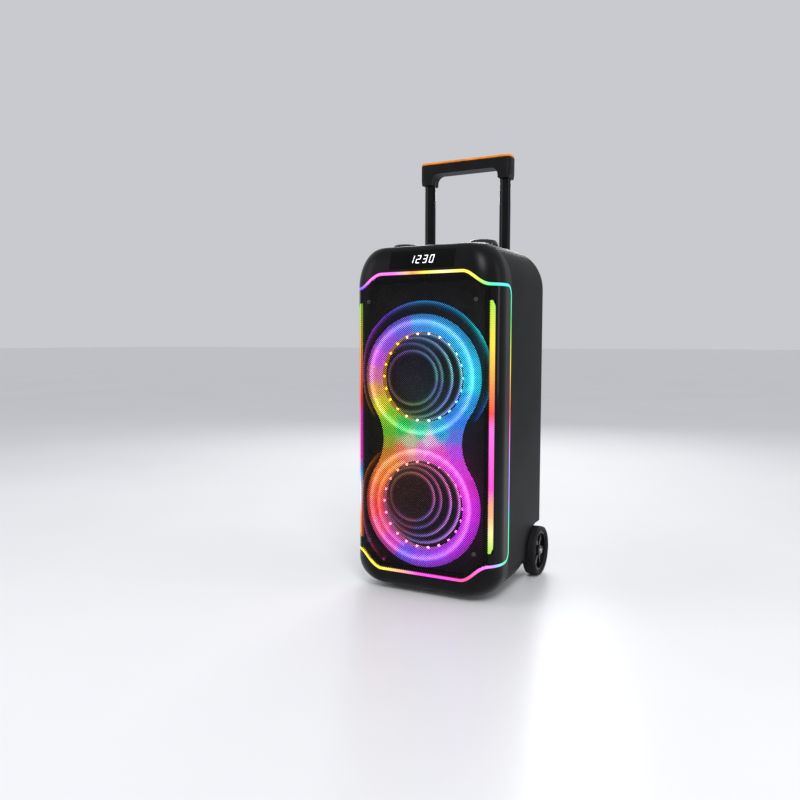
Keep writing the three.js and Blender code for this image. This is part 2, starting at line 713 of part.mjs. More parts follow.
for (const [side, sign] of sides) add(`knob_${side}`, knob(sign), 0x0b0b0c, 0.22);
add("button_panel", buttonPanel(), GLOSS, 0.25);
for (let i = 0; i < BUTTON.count; i++) {
  const button = prism("z", buttonOutline(i, 0), PANEL_TOP - 5, PANEL_TOP + BUTTON.rise);
  add(`top_button_${i + 1}`, button, 0x232427, 0.5);
}

// ---------- trolley handle ----------
const SLEEVE_BOTTOM = aboveBase(49);
const TUBE_BOTTOM = SLEEVE_BOTTOM + TUBE.stow;

for (const [side, sign] of sides) {
  const centre = [sign * TUBE.x, TUBE_Y, 0];
  const sleeveTop = BODY.top - 2;
  add(`handle_sleeve_${side}`, pipe("z", SLEEVE_IN, SLEEVE_OUT, SLEEVE_BOTTOM, sleeveTop, centre), 0x2c2d2f, 0.5, 0.6);
  const tube = pipe("z", TUBE.r - TUBE.wall, TUBE.r, TUBE_BOTTOM, GRIP_BOTTOM + TUBE.seat, centre);
  add(`handle_tube_${side}`, tube, GLOSS, 0.12, 0.6);
}

// The grip seen from the front: a bar with a lobe at each end and rounded inner corners.
function grip() {
  const g = GRIP;
  const z1 = GRIP_TOP;
  const inner = g.half - g.lobe;
  const bend = 16;
  const barUnder = GRIP_BOTTOM + g.archHeight;
  const y0 = TUBE_Y - g.halfDepth;
  const y1 = TUBE_Y + g.halfDepth;
  const outline = [[-g.half + 2.5, GRIP_BOTTOM], [-inner - 3, GRIP_BOTTOM], [-inner - 1, GRIP_BOTTOM + 2]];
  const arch = (cx, from, to) => {
    for (let i = 0; i <= 6; i++) {
      const a = rad(from + ((to - from) * i) / 6);
      outline.push([cx + bend * Math.cos(a), barUnder - bend + bend * Math.sin(a)]);
    }
  };
  arch(-inner + bend, 180, 90);
  arch(inner - bend, 90, 0);
  outline.push([inner + 1, GRIP_BOTTOM + 2], [inner + 3, GRIP_BOTTOM], [g.half - 2.5, GRIP_BOTTOM]);
  outline.push([g.half, GRIP_BOTTOM + 6], [g.half, z1], [-g.half, z1], [-g.half, GRIP_BOTTOM + 6]);
  const bar = prism("y", outline, y0, y1);
  const plan = roundedRect(-g.half, y0, g.half, y1, g.corner, 5);
  let shape = bar.intersect(prism("z", plan, GRIP_BOTTOM - 1, z1));
  for (const [, sign] of sides) {
    const socket = rod("z", TUBE.r + GAP, GRIP_BOTTOM - 1, GRIP_BOTTOM + TUBE.seat + GAP, [sign * TUBE.x, TUBE_Y, 0]);
    shape = shape.subtract(socket);
  }
  return shape;
}

function gripInlay() {
  const g = GRIP;
  const inset = 0.6;
  const y0 = TUBE_Y - g.halfDepth + inset;
  const y1 = TUBE_Y + g.halfDepth - inset;
  const z = GRIP_TOP + GAP;
  const low = prism("z", roundedRect(-g.half + inset, y0, g.half - inset, y1, g.corner - inset, 5), z, z + g.inlay - 1.5);
  const top = prism(
    "z",
    roundedRect(-g.half + 2, y0 + 1.4, g.half - 2, y1 - 1.4, g.corner - 2, 5),
    z + g.inlay - 1.5,
    z + g.inlay,
  );
  return low.add(top.translate([0, 0, -0.01]));
}

add("handle_grip", grip(), 0x1b1b1c, 0.6);
add("grip_inlay", gripInlay(), 0xff8a1f, 0.55);

// ---------- wheels, axle and feet ----------
const wheelCentre = [0, WHEEL_Y, WHEEL.r];

function tyre(lo) {
  const w = WHEEL;
  const a = lo;
  const b = lo + w.width;
  const profile = [
    [w.rimR + GAP, a + 2],
    [w.r - 3, a],
    [w.r, a + 5],
    [w.r, b - 5],
    [w.r - 3, b],
    [w.rimR + GAP, b - 2],
    [w.rimR + GAP, a + 2],
  ];
  return turned("x", profile, wheelCentre, 32);
}

// A hub: a rim band, a thin web with spokes on its outer face, and a boss round the axle.
function hub(lo, sign) {
  const w = WHEEL;
  const bore = AXLE.r + GAP;
  const mid = lo + w.width / 2;
  const rim = pipe("x", w.rimR - 3.5, w.rimR, lo + 3, lo + w.width - 3, wheelCentre, 28);
  const boss = pipe("x", bore, w.hubR, lo + 3, lo + w.width - 3, wheelCentre, 14);
  const web = pipe("x", bore, w.rimR - 2, mid - 1.5, mid + 1.5, wheelCentre, 28);
  let shape = join(rim, boss, web);
  const out = mid + sign * 5;
  const lowX = Math.min(mid, out);
  const highX = Math.max(mid, out);
  for (let i = 0; i < w.spokes; i++) {
    const spoke = prism("x", [[2, -3.5], [12, -3.5], [35, -6.5], [35, 1], [12, 3.5], [2, 3.5]], lowX, highX);
    const turn = spoke.rotate([(360 * i) / w.spokes, 0, 0]).translate([0, WHEEL_Y, WHEEL.r]);
    shape = shape.add(turn);
  }
  return shape.subtract(rod("x", bore, lo - 1, lo + w.width + 1, wheelCentre, 14));
}

for (const [side, sign] of sides) {
  const lo = sign > 0 ? WHEEL_IN : -WHEEL.outerX;
  add(`wheel_tyre_${side}`, tyre(lo), 0x111112, 0.75);
  add(`wheel_hub_${side}`, hub(lo, sign), 0x0e0e0f, 0.4);
}

// The axle: a rod through both wheels with a riveted head at each end.
function axle() {
  const neck = WHEEL.outerX - 3 + GAP;
  const end = neck + AXLE.headThick;
  const profile = [
    [0, -end],
    [AXLE.headR - 1, -end],
    [AXLE.headR, -neck],
    [AXLE.r, -neck],
    [AXLE.r, neck],
    [AXLE.headR, neck],
    [AXLE.headR - 1, end],
    [0, end],
  ];
  return turned("x", profile, wheelCentre, 20);
}
add("wheel_axle", axle(), STEEL, 0.3, 1);

for (const [side, sign] of sides) {
  const foot = [[0, 0], [FOOT.r - 1.5, 0], [FOOT.r, 1.5], [FOOT.r - 1, FOOT.high], [0, FOOT.high]];
  const place = [sign * FOOT.x, fromFront(FOOT.fromFront), 0];
  add(`foot_${side}`, turned("z", foot, place, 28).subtract(form(-GAP)), 0x0c0c0c, 0.85);
}

// ---------- rear panel with its sockets and switch ----------
const PLATE_BACK = REAR_Y - REAR.recess;
const PLATE_FRONT = PLATE_BACK - REAR.plate;
const MIC = { r: 5.2, bore: 3.4, x: [-42, -18], z: 24, depth: 14 };
const AUX = { r: 3.6, bore: 1.9, x: 6, z: 24, depth: 12 };
const USB = { w: 15, h: 8, x: 36, z: 24, depth: 14, slotW: 12.8, slotH: 5.2 };
const INLET = { w: 27, h: 20, x: 32, z: -22, depth: 22, slotW: 20, slotH: 13 };
const SWITCH = { w: 13, h: 19, x: -34, z: -22, depth: 9, tilt: 9 };

function socketCuts(grow) {
  const z = PANEL_Z;
  const a = PLATE_FRONT - 30;
  const b = REAR_Y + 10;
  const box = (s) =>
    block([s.x - s.w / 2 - grow, a, z + s.z - s.h / 2 - grow], [s.x + s.w / 2 + grow, b, z + s.z + s.h / 2 + grow]);
  const cuts = MIC.x.map((x) => rod("y", MIC.r + grow, a, b, [x, 0, z + MIC.z], 14));
  cuts.push(rod("y", AUX.r + grow, a, b, [AUX.x, 0, z + AUX.z], 14));
  cuts.push(box(USB), box(INLET), box({ ...SWITCH, w: SWITCH.w + 1, h: SWITCH.h + 1.4 }));
  return join(...cuts);
}

function rearPanel() {
  const w = REAR.panelW / 2 - GAP;
  const h = REAR.panelH / 2 - GAP;
  const z = PANEL_Z;
  const outline = roundedRect(-w, z - h, w, z + h, 2, 2);
  return prism("y", outline, PLATE_FRONT, PLATE_BACK).subtract(socketCuts(GAP));
}

// A round jack socket: a threaded nut on the panel and a blind bore.
function jack(s, x) {
  const centre = [x, 0, PANEL_Z + s.z];
  const face = PLATE_BACK + 2;
  const body = rod("y", s.r, face - s.depth - 3, face, centre, 14);
  const nut = pipe("y", s.r - 0.5, s.r + 2, PLATE_BACK + GAP, face - 0.4, centre, 6);
  return body.add(nut).subtract(rod("y", s.bore, face - s.depth, face + 1, centre, 12));
}

// A rectangular port: a block with a slot open to the back.
function port(s) {
  const z = PANEL_Z + s.z;
  const face = PLATE_BACK + 0.6;
  const body = block([s.x - s.w / 2, face - s.depth - 3, z - s.h / 2], [s.x + s.w / 2, face, z + s.h / 2]);
  const lo = [s.x - s.slotW / 2, face - s.depth, z - s.slotH / 2];
  return body.subtract(block(lo, [s.x + s.slotW / 2, face + 1, z + s.slotH / 2]));
}

// The rocker: a wedge pair that stands proud at one end.
function rocker() {
  const z = PANEL_Z + SWITCH.z;
  const h = SWITCH.h / 2;
  const y = PLATE_BACK;
  const profile = [[y - 7, z - 4], [y - 7, z + 4], [y - 1, z + h], [y + 2.8, z + h], [y, z], [y + 0.6, z - h], [y - 3, z - h]];
  return prism("x", profile, SWITCH.x - SWITCH.w / 2, SWITCH.x + SWITCH.w / 2);
}

add("rear_panel", rearPanel(), 0x0f0f10, 0.45);
MIC.x.forEach((x, i) => add(`mic_socket_${i + 1}`, jack(MIC, x), 0x2a2a2c, 0.4));
add("aux_socket", jack(AUX, AUX.x), 0x2a2a2c, 0.4);
add("usb_port", port(USB), STEEL, 0.35, 0.9);
add("power_inlet", port(INLET), 0x0c0c0c, 0.5);
add("power_switch", rocker(), 0xb01818, 0.35);

function bassPort() {
  const y1 = REAR_Y;
  const y0 = y1 - REAR.portLength;
  const r = REAR.portR;
  const out = r + REAR.portWall;
  const profile = [
    [r, y0],
    [out, y0],
    [out, y1 - BODY.wall],
    [out, y1 - 0.8],
    [r + 1.8, y1],
    [r + 0.4, y1 - 2.5],
    [r, y1 - 6],
    [r, y0],
  ];
  return turned("y", profile, [0, 0, PORT_Z], 24);
}
add("bass_port", bassPort(), 0x101011, 0.5);

// ---------- electronics ----------
function blockAt(centreX, backGap, z, size) {
  const y1 = REAR_Y - backGap;
  return block([centreX - size[0] / 2, y1 - size[1], z], [centreX + size[0] / 2, y1, z + size[2]]);
}
add("amplifier_board", blockAt(0, 42, PANEL_Z - 52, [112, 2, 104]), GREEN_BOARD, 0.6);
add("battery_pack", blockAt(0, 60, UNDERSIDE.rearHeight + BODY.wall + 16, [118, 60, 62]), 0x2f4e8c, 0.5);
add("power_supply", blockAt(0, 60, UNDERSIDE.rearHeight + BODY.wall + 84, [96, 46, 40]), 0xb9bbbd, 0.4);

export default speaker;
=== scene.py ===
import math

import bmesh
import bpy
import numpy as np
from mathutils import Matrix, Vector
from mathutils.geometry import delaunay_2d_cdt


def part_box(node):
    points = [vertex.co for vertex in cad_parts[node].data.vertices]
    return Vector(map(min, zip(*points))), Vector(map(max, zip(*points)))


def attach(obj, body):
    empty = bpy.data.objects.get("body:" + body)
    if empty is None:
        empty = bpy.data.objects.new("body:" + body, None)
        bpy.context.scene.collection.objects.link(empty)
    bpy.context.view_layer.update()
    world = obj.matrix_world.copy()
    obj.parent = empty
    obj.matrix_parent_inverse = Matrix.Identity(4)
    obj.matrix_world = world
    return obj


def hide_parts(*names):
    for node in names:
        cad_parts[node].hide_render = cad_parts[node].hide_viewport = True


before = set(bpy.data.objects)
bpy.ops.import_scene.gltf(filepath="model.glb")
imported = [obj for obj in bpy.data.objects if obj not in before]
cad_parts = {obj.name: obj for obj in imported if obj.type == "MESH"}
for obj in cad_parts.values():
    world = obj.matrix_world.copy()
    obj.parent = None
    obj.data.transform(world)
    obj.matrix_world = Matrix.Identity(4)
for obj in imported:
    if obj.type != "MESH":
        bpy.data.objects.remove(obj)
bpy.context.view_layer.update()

# Looks of a trolley party speaker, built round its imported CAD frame. Metres, +Z up, front faces -Y.

MM = 0.001

# ---------- sizes of the body form, the same as in the CAD part ----------
HALF_W = 136.3 * MM
FRONT = -134 * MM
REAR = 134 * MM
BOTTOM = 9 * MM
TOP = 600 * MM
CORNER_F = 45 * MM
CORNER_R = 28 * MM
CROWN_H, CROWN_SIDE, CROWN_FRONT = 70 * MM, 40 * MM, 26 * MM
CROWN_REAR_H, CROWN_REAR = 62 * MM, 75 * MM
BASE_H, BASE_SIDE, BASE_FRONT, BASE_REAR = 41 * MM, 44 * MM, 18 * MM, 20 * MM
SEAM_Y = FRONT + 67.5 * MM
SEAM_TOP_Y = FRONT + 36 * MM
SEAM_BEND_Z = TOP - 60 * MM
WALL = 4 * MM
GAP = 0.3 * MM

STRIP_W = 4.6 * MM
STRIP_TOP = TOP - 47.5 * MM
STRIP_BOTTOM = BOTTOM + 30 * MM
BEND_FROM, BEND_TO = 74 * MM, 122 * MM
SHOULDER_TOP = STRIP_TOP - 22.5 * MM
SHOULDER_BOTTOM = STRIP_BOTTOM + 26.5 * MM
STRIP_TURN = 16 * MM
STRIP_DEEP = 3.9 * MM
STRIP_GROOVE_FRONT, STRIP_GROOVE_REAR = 4.6 * MM, 5.2 * MM

BAR_ANGLE = math.radians(46.6)
BAR_W = 8.8 * MM
BAR_TOP = TOP - 96 * MM
BAR_BOTTOM = BOTTOM + 79 * MM
BAR_DEEP = 3.8 * MM
CHEEK_WALL = 2.6 * MM
GRILLE_SHEET = 1.6 * MM
LINER_WALL = 8 * MM

LOWER_Z = BOTTOM + 149 * MM
UPPER_Z = LOWER_Z + 219 * MM
MID_Z = (LOWER_Z + UPPER_Z) / 2
BAND_R = 107 * MM
OPENING_R = 76 * MM
WAIST = 73 * MM
PLATE_FRONT, PLATE_BACK = FRONT + 7 * MM, FRONT + 10.5 * MM
PLATE_CLEAR = 0.8 * MM
LED_COUNT, LED_R, LED_INSET = 22, 2.4 * MM, 1.4 * MM

CAMERA_PLACE = (0.5563, -1.2872, 0.4388)
CAMERA_AIM = (-0.0575, FRONT, 0.3386)
LENS, LENS_SHIFT = 34.25, (0.013, -0.0011)

FLAT = HALF_W - CORNER_F  # half of the flat front
ARC = CORNER_F * math.pi / 2
SEAM_A = FLAT + ARC + (SEAM_Y - FRONT - CORNER_F)  # the seam, measured round the skin


# ---------- camera and lights ----------
def facing(place, aim):
    """The turn that points a camera or lamp at aim."""
    return (Vector(aim) - Vector(place)).to_track_quat("-Z", "Y").to_euler()


def add_camera():
    data = bpy.data.cameras.new("camera")
    data.lens = LENS
    data.sensor_width = 36
    data.shift_x, data.shift_y = LENS_SHIFT
    camera = bpy.data.objects.new("camera", data)
    bpy.context.scene.collection.objects.link(camera)
    camera.location = CAMERA_PLACE
    camera.rotation_euler = facing(CAMERA_PLACE, CAMERA_AIM)
    bpy.context.scene.camera = camera


def add_area(name, place, aim, size, power, colour=(1, 1, 1)):
    data = bpy.data.lights.new(name, "AREA")
    data.shape = "RECTANGLE"
    data.size, data.size_y = size
    data.energy = power
    data.color = colour
    lamp = bpy.data.objects.new(name, data)
    bpy.context.scene.collection.objects.link(lamp)
    lamp.location = place
    lamp.rotation_euler = facing(place, aim)


def add_studio():
    world = bpy.data.worlds.new("studio")
    world.use_nodes = True
    sky = world.node_tree.nodes["Background"]
    sky.inputs["Color"].default_value = (0.93, 0.95, 1.0, 1)
    sky.inputs["Strength"].default_value = 0.62
    bpy.context.scene.world = world
    add_area("key", (0.9, -1.5, 1.9), (0, 0, 0.35), (0.7, 0.9), 26)
    add_area("fill", (-1.6, -1.2, 1.2), (0, 0, 0.4), (1.2, 1.2), 8)
    add_area("side_strip", (1.7, 0.2, 0.9), (0, 0, 0.4), (0.25, 1.4), 3.5)
    add_area("back", (-0.6, 1.8, 1.5), (0, 0, 0.4), (1.0, 1.0), 22)


# ---------- node helpers ----------
class Look:
    """A material being built: its node tree, its shader and short ways to add nodes."""

    def __init__(self, name):
        self.material = bpy.data.materials.new(name)
        self.material.use_nodes = True
        self.tree = self.material.node_tree
        self.shader = self.tree.nodes["Principled BSDF"]
        self.output = self.tree.nodes["Material Output"]

    def node(self, kind, **values):
        made = self.tree.nodes.new("ShaderNode" + kind)
        for key, value in values.items():
            if hasattr(made, key):
                setattr(made, key, value)
            else:
                made.inputs[key.replace("_", " ")].default_value = value
        return made

    def link(self, source, target):
        self.tree.links.new(source, target)

    def place(self):
        return self.node("TexCoord").outputs["Object"]

    def noise(self, scale, detail=2.0, vector=None):
        made = self.node("TexNoise", Scale=scale, Detail=detail)
        self.link(vector or self.place(), made.inputs["Vector"])
        return made.outputs["Fac"]

    def ramp(self, source, stops):
        made = self.node("ValToRGB")
        ends = made.color_ramp.elements
        while len(ends) < len(stops):
            ends.new(0.5)
        for end, (at, colour) in zip(ends, stops):
            end.position = at
            end.color = (*colour, 1) if len(colour) == 3 else colour
        self.link(source, made.inputs["Fac"])
        return made.outputs["Color"]

    def spread(self, source, low, high):
        """Maps 0 to 1 onto low to high."""
        made = self.node("MapRange")
        made.inputs["To Min"].default_value = low
        made.inputs["To Max"].default_value = high
        self.link(source, made.inputs["Value"])
        return made.outputs["Result"]

    def bump(self, height, strength, distance, normal=None):
        made = self.node("Bump", Strength=strength, Distance=distance)
        self.link(height, made.inputs["Height"])
        if normal:
            self.link(normal, made.inputs["Normal"])
        self.link(made.outputs["Normal"], self.shader.inputs["Normal"])
        return made.outputs["Normal"]

    def set(self, **values):
        for key, value in values.items():
            self.shader.inputs[key.replace("_", " ")].default_value = value
        return self


def plastic(name, colour, rough, grain=0.12, grain_scale=2600, uneven=0.05, coat=0.0, gloss=0.3):
    """Moulded plastic: a fine pebbled surface, slightly uneven in gloss and tone."""
    look = Look(name)
    tone = look.noise(35, 3)
    dark = tuple(c * 0.8 for c in colour)
    light = tuple(min(1, c * 1.25 + 0.001) for c in colour)
    look.link(look.ramp(tone, [(0.3, dark), (0.7, light)]), look.shader.inputs["Base Color"])
    smear = look.noise(9, 4)
    look.link(look.spread(smear, rough - uneven, rough + uneven), look.shader.inputs["Roughness"])
    look.bump(look.noise(grain_scale, 1), grain, 0.0002)
    look.set(Specular_IOR_Level=gloss)
    if coat:
        look.set(Coat_Weight=coat, Coat_Roughness=0.06)
    return look.material


def metal(name, colour, rough, brushed=(1, 1, 60), strength=0.08):
    """Metal with fine drawn lines along one axis and small changes in gloss."""
    look = Look(name)
    look.set(Metallic=1.0)
    stretch = look.node("Mapping")
    stretch.inputs["Scale"].default_value = brushed
    look.link(look.place(), stretch.inputs["Vector"])
    lines = look.noise(900, 2, stretch.outputs["Vector"])
    dark = tuple(c * 0.75 for c in colour)
    look.link(look.ramp(lines, [(0.35, dark), (0.65, colour)]), look.shader.inputs["Base Color"])
    look.link(look.spread(lines, rough - 0.06, rough + 0.08), look.shader.inputs["Roughness"])
    look.bump(lines, strength, 0.0001)
    return look.material


def rubber(name, colour=(0.014, 0.014, 0.015), rough=0.72):
    return plastic(name, colour, rough, grain=0.25, grain_scale=1400, uneven=0.1)


def glow(name, attribute, strength, base=(0.02, 0.02, 0.02)):
    """A light guide: it gives off the colour stored on its points, a little mottled."""
    look = Look(name)
    stored = look.node("Attribute", attribute_name=attribute)
    mottle = look.spread(look.noise(300, 2), 0.93, 1.07)
    look.set(Base_Color=(*base, 1), Roughness=0.35)
    look.link(stored.outputs["Color"], look.shader.inputs["Emission Color"])
    scaled = look.node("Math", operation="MULTIPLY")
    look.link(mottle, scaled.inputs[0])
    scaled.inputs[1].default_value = strength
    look.link(scaled.outputs[0], look.shader.inputs["Emission Strength"])
    return look.material


# ---------- mesh helpers ----------
def make_object(name, verts, faces, material, smooth=35):
    mesh = bpy.data.meshes.new(name)
    mesh.from_pydata([tuple(v) for v in verts], [], [tuple(f) for f in faces])
    mesh.validate()
    piece = bpy.data.objects.new(name, mesh)
    bpy.context.scene.collection.objects.link(piece)
    mesh.materials.append(material)
    shade(piece, smooth)
    return piece


def shade(piece, angle=35):
    """Smooth faces, with edges sharper than the angle kept hard."""
    mesh = piece.data
    mesh.polygons.foreach_set("use_smooth", [True] * len(mesh.polygons))
    mesh.set_sharp_from_angle(angle=math.radians(angle))


def fix_normals(piece, weld=True):
    """Points every face out; weld first makes points that coincide one."""
    form = bmesh.new()
    form.from_mesh(piece.data)
    if weld:
        bmesh.ops.remove_doubles(form, verts=form.verts, dist=1e-6)
    bmesh.ops.recalc_face_normals(form, faces=form.faces)
    form.to_mesh(piece.data)
    form.free()


def make_solid(name, verts, faces, material, smooth=35):
    """A closed object with its faces pointing out."""
    piece = make_object(name, verts, faces, material, smooth)
    fix_normals(piece)
    shade(piece, smooth)
    return piece


def bevel(piece, width, segments=3, angle=30):
    """A rounded edge that stays live on the piece."""
    made = piece.modifiers.new("edge", "BEVEL")
    made.width = width
    made.segments = segments
    made.limit_method = "ANGLE"
    made.angle_limit = math.radians(angle)
    made.harden_normals = True


def prism(axis, outline, lo, hi):
    """Verts and faces of an outline pushed along an axis.

    The outline is [x, z] along y, [y, z] along x and [x, y] along z.
    """
    lift = {
        "x": lambda u, v, t: (t, u, v),
        "y": lambda u, v, t: (u, t, v),
        "z": lambda u, v, t: (u, v, t),
    }[axis]
    n = len(outline)
    verts = [lift(u, v, lo) for u, v in outline] + [lift(u, v, hi) for u, v in outline]
    faces = [list(range(n)), list(range(n, 2 * n))[::-1]]
    faces += [[i, (i + 1) % n, n + (i + 1) % n, n + i] for i in range(n)]
    return verts, faces


def cut_body(verts, faces):
    """A throwaway object with its faces pointing out, to cut with."""
    mesh = bpy.data.meshes.new("cutter")
    mesh.from_pydata([tuple(v) for v in verts], [], [tuple(f) for f in faces])
    piece = bpy.data.objects.new("cutter", mesh)
    bpy.context.scene.collection.objects.link(piece)
    fix_normals(piece)
    return piece


def combine(piece, other, operation):
    """A boolean applied to the piece's own mesh; the other object is used up."""
    made = piece.modifiers.new("cut", "BOOLEAN")
    made.operation = operation
    made.object = other
    made.solver = "EXACT"
    graph = bpy.context.evaluated_depsgraph_get()
    result = bpy.data.meshes.new_from_object(piece.evaluated_get(graph))
    piece.modifiers.remove(made)
    old = piece.data
    piece.data = result
    bpy.data.meshes.remove(old)
    bpy.data.objects.remove(other)


def turned(profile, axis, centre, sides=96):
    """Verts and faces of [radius, along] points turned about an axis; a radius of 0 closes the end."""
    order = {"x": (1, 2, 0), "y": (2, 0, 1), "z": (0, 1, 2)}[axis]
    verts, rings = [], []
    for radius, along in profile:
        count = 1 if radius == 0 else sides
        start = len(verts)
        for i in range(count):
            a = 2 * math.pi * i / sides
            local = (radius * math.cos(a), radius * math.sin(a), along)
            point = [0, 0, 0]
            for k in range(3):
                point[order[k]] = local[k]
            verts.append(tuple(p + c for p, c in zip(point, centre)))
        rings.append((start, count))
    faces = []
    for (s0, n0), (s1, n1) in zip(rings, rings[1:]):
        for i in range(sides):
            j = (i + 1) % sides
            loop = [s0 + i % n0, s0 + j % n0, s1 + j % n1, s1 + i % n1]
            clean = list(dict.fromkeys(loop))
            if len(clean) > 2:
                faces.append(clean)
    return verts, faces


def lathe(name, profile, axis, centre, material, sides=96, smooth=35):
    return make_solid(name, *turned(profile, axis, centre, sides), material, smooth)


def rod(radius, lo, hi):
    """The profile of a plain solid cylinder."""
    return [(0, lo), (radius, lo), (radius, hi), (0, hi)]


def closed(profile):
    """A profile that comes back to its start, for a turned body that is open along its axis."""
    return list(profile) + [profile[0]]


def rounded_rect(x0, y0, x1, y1, r, steps=6):
    corners = (
        (x0 + r, y0 + r, 180),
        (x1 - r, y0 + r, 270),
        (x1 - r, y1 - r, 0),
        (x0 + r, y1 - r, 90),
    )
    out = []
    for cx, cy, start in corners:
        for i in range(steps + 1):
            a = math.radians(start + 90 * i / steps)
            out.append((cx + r * math.cos(a), cy + r * math.sin(a)))
    return out


def join_parts(parts):
    """Several (verts, faces) bodies as one."""
    verts, faces = [], []
    for some_verts, some_faces in parts:
        start = len(verts)
        verts += list(some_verts)
        faces += [[start + i for i in f] for f in some_faces]
    return verts, faces


# ---------- the body form ----------
def lean(t, height, depth):
    """How far an elliptic rounding of this height and depth has come in, t past its start."""
    return depth * (1 - np.sqrt(np.clip(1 - np.minimum(1, np.maximum(0, t) / height) ** 2, 0, 1)))


def form_at(z, skin=0.0):
    """Half width, front, rear and corner radii of the body's level section."""
    z = np.asarray(z, float)
    up = z - (TOP - skin)
    down = BOTTOM + skin - z

    def crown(height, depth):
        return lean(up + height - skin, height - skin, depth - skin)

    def base(depth):
        return lean(down + BASE_H - skin, BASE_H - skin, depth)

    side = skin + crown(CROWN_H, CROWN_SIDE) + base(BASE_SIDE - skin)
    front = skin + crown(CROWN_H, CROWN_FRONT) + base(BASE_FRONT)
    rear = skin + crown(CROWN_REAR_H, CROWN_REAR) + base(BASE_REAR)
    shrink = 0.6 * skin + 0.4 * side
    rf = np.maximum(6 * MM, CORNER_F - shrink)
    rr = np.maximum(6 * MM, CORNER_R - shrink)
    return HALF_W - side, FRONT + front, REAR - rear, rf, rr


def body_form(skin, corner_steps=22):
    """The closed body, pulled in by skin on every side, as verts and faces."""
    low, high = BOTTOM + skin, TOP - skin
    levels = [low + (BASE_H - skin) * (1 - math.cos(math.radians(9 * i))) for i in range(11)]
    levels += [high - (CROWN_H - skin) * (1 - math.sin(math.radians(6 * i))) for i in range(16)]
    rings = []
    for z in levels:
        w, y0, y1, rf, rr = (float(v) for v in form_at(z, skin))
        ring = []
        for cx, cy, r, start in (
            (-w + rf, y0 + rf, rf, 180),
            (w - rf, y0 + rf, rf, 270),
            (w - rr, y1 - rr, rr, 0),
            (-w + rr, y1 - rr, rr, 90),
        ):
            for i in range(corner_steps + 1):
                a = math.radians(start + 90 * i / corner_steps)
                ring.append((cx + r * math.cos(a), cy + r * math.sin(a), z))
        rings.append(ring)
    n = len(rings[0])
    verts = [p for ring in rings for p in ring]
    faces = [list(range(n))[::-1], [(len(rings) - 1) * n + i for i in range(n)]]
    for i in range(len(rings) - 1):
        for j in range(n):
            k = (j + 1) % n
            faces.append([i * n + j, i * n + k, (i + 1) * n + k, (i + 1) * n + j])
    return verts, faces


def on_skin(a, z, depth=0.0):
    """Points of the front skin: a is measured round it from the middle, z is the height."""
    a, z = np.broadcast_arrays(np.asarray(a, float), np.asarray(z, float))
    w, y0, _, rf, _ = form_at(z)
    w2, y2, _, r2, _ = form_at(z, depth)
    flat, arc = w - rf, rf * math.pi / 2
    s = np.abs(a)
    turn = np.clip((s - flat) / rf, 0, math.pi / 2)
    x = np.where(s <= flat, s * (w2 - r2) / flat, (w2 - r2) + r2 * np.sin(turn))
    y = np.where(s <= flat, y2, y2 + r2 * (1 - np.cos(turn)))
    past = np.maximum(0, s - flat - arc)
    y = np.where(past > 0, y0 + rf + past, y)
    x = np.where(past > 0, w2, x)
    return np.stack([np.sign(a) * x, y, z], -1)


def strip_line(x, level, shoulder):
    """Height of the strip's centre line: level in the middle, eased to the shoulder at the side."""
    t = np.clip((np.abs(x) - BEND_FROM) / (BEND_TO - BEND_FROM), 0, 1)
    return level + (shoulder - level) * (1 - np.cos(math.pi * t)) / 2


def x_of(a):
    """How far to the side a place on the skin is, on the straight part of the body."""
    s = np.abs(a)
    turn = np.clip((s - FLAT) / CORNER_F, 0, math.pi / 2)
    return np.sign(a) * np.where(s <= FLAT, s, FLAT + CORNER_F * np.sin(turn))


def strip_edge(a, side, grow):
    """Height of the strip's edge over the front and corners: side is +1 at the top, -1 at the base."""
    level, shoulder = (STRIP_TOP, SHOULDER_TOP) if side > 0 else (STRIP_BOTTOM, SHOULDER_BOTTOM)
    x = x_of(a)
    slope = (strip_line(x + 0.0005, level, shoulder) - strip_line(x - 0.0005, level, shoulder)) / 0.001
    z = strip_line(x, level, shoulder) + side * grow * np.sqrt(1 + slope**2)
    # Past the shoulder the edge turns down the side in an arc.
    start = SEAM_A - STRIP_TURN
    r = STRIP_TURN + grow
    into = np.clip(np.abs(a) - start, 0, r)
    return np.where(np.abs(a) > start, shoulder - side * STRIP_TURN + side * np.sqrt(r**2 - into**2), z)


def skin_grid(cols, low, high, rows):
    """A grid of places on the skin, each column running from a low edge to a high one."""
    low, high = np.broadcast_arrays(low, high)
    a = np.repeat(cols[:, None], len(rows), 1)
    return a, low[:, None] + (high - low)[:, None] * rows[None, :]


def skin_block(a, z, d0, d1):
    """Verts and faces of a curved plate between two depths, over a grid of places."""
    n, m = a.shape
    half = n * m
    outer = on_skin(a, z, d0).reshape(-1, 3)
    inner = on_skin(a, z, d1).reshape(-1, 3)
    faces = []
    for i in range(n - 1):
        for j in range(m - 1):
            p, q, r, s = i * m + j, (i + 1) * m + j, (i + 1) * m + j + 1, i * m + j + 1
            faces += [[p, q, r, s], [half + s, half + r, half + q, half + p]]
    rim = [i * m for i in range(n)] + [(n - 1) * m + j for j in range(1, m)]
    rim += [i * m + m - 1 for i in range(n - 2, -1, -1)] + [j for j in range(m - 2, 0, -1)]
    for p, q in zip(rim, rim[1:] + rim[:1]):
        faces.append([q, p, half + p, half + q])
    return np.concatenate([outer, inner]), faces


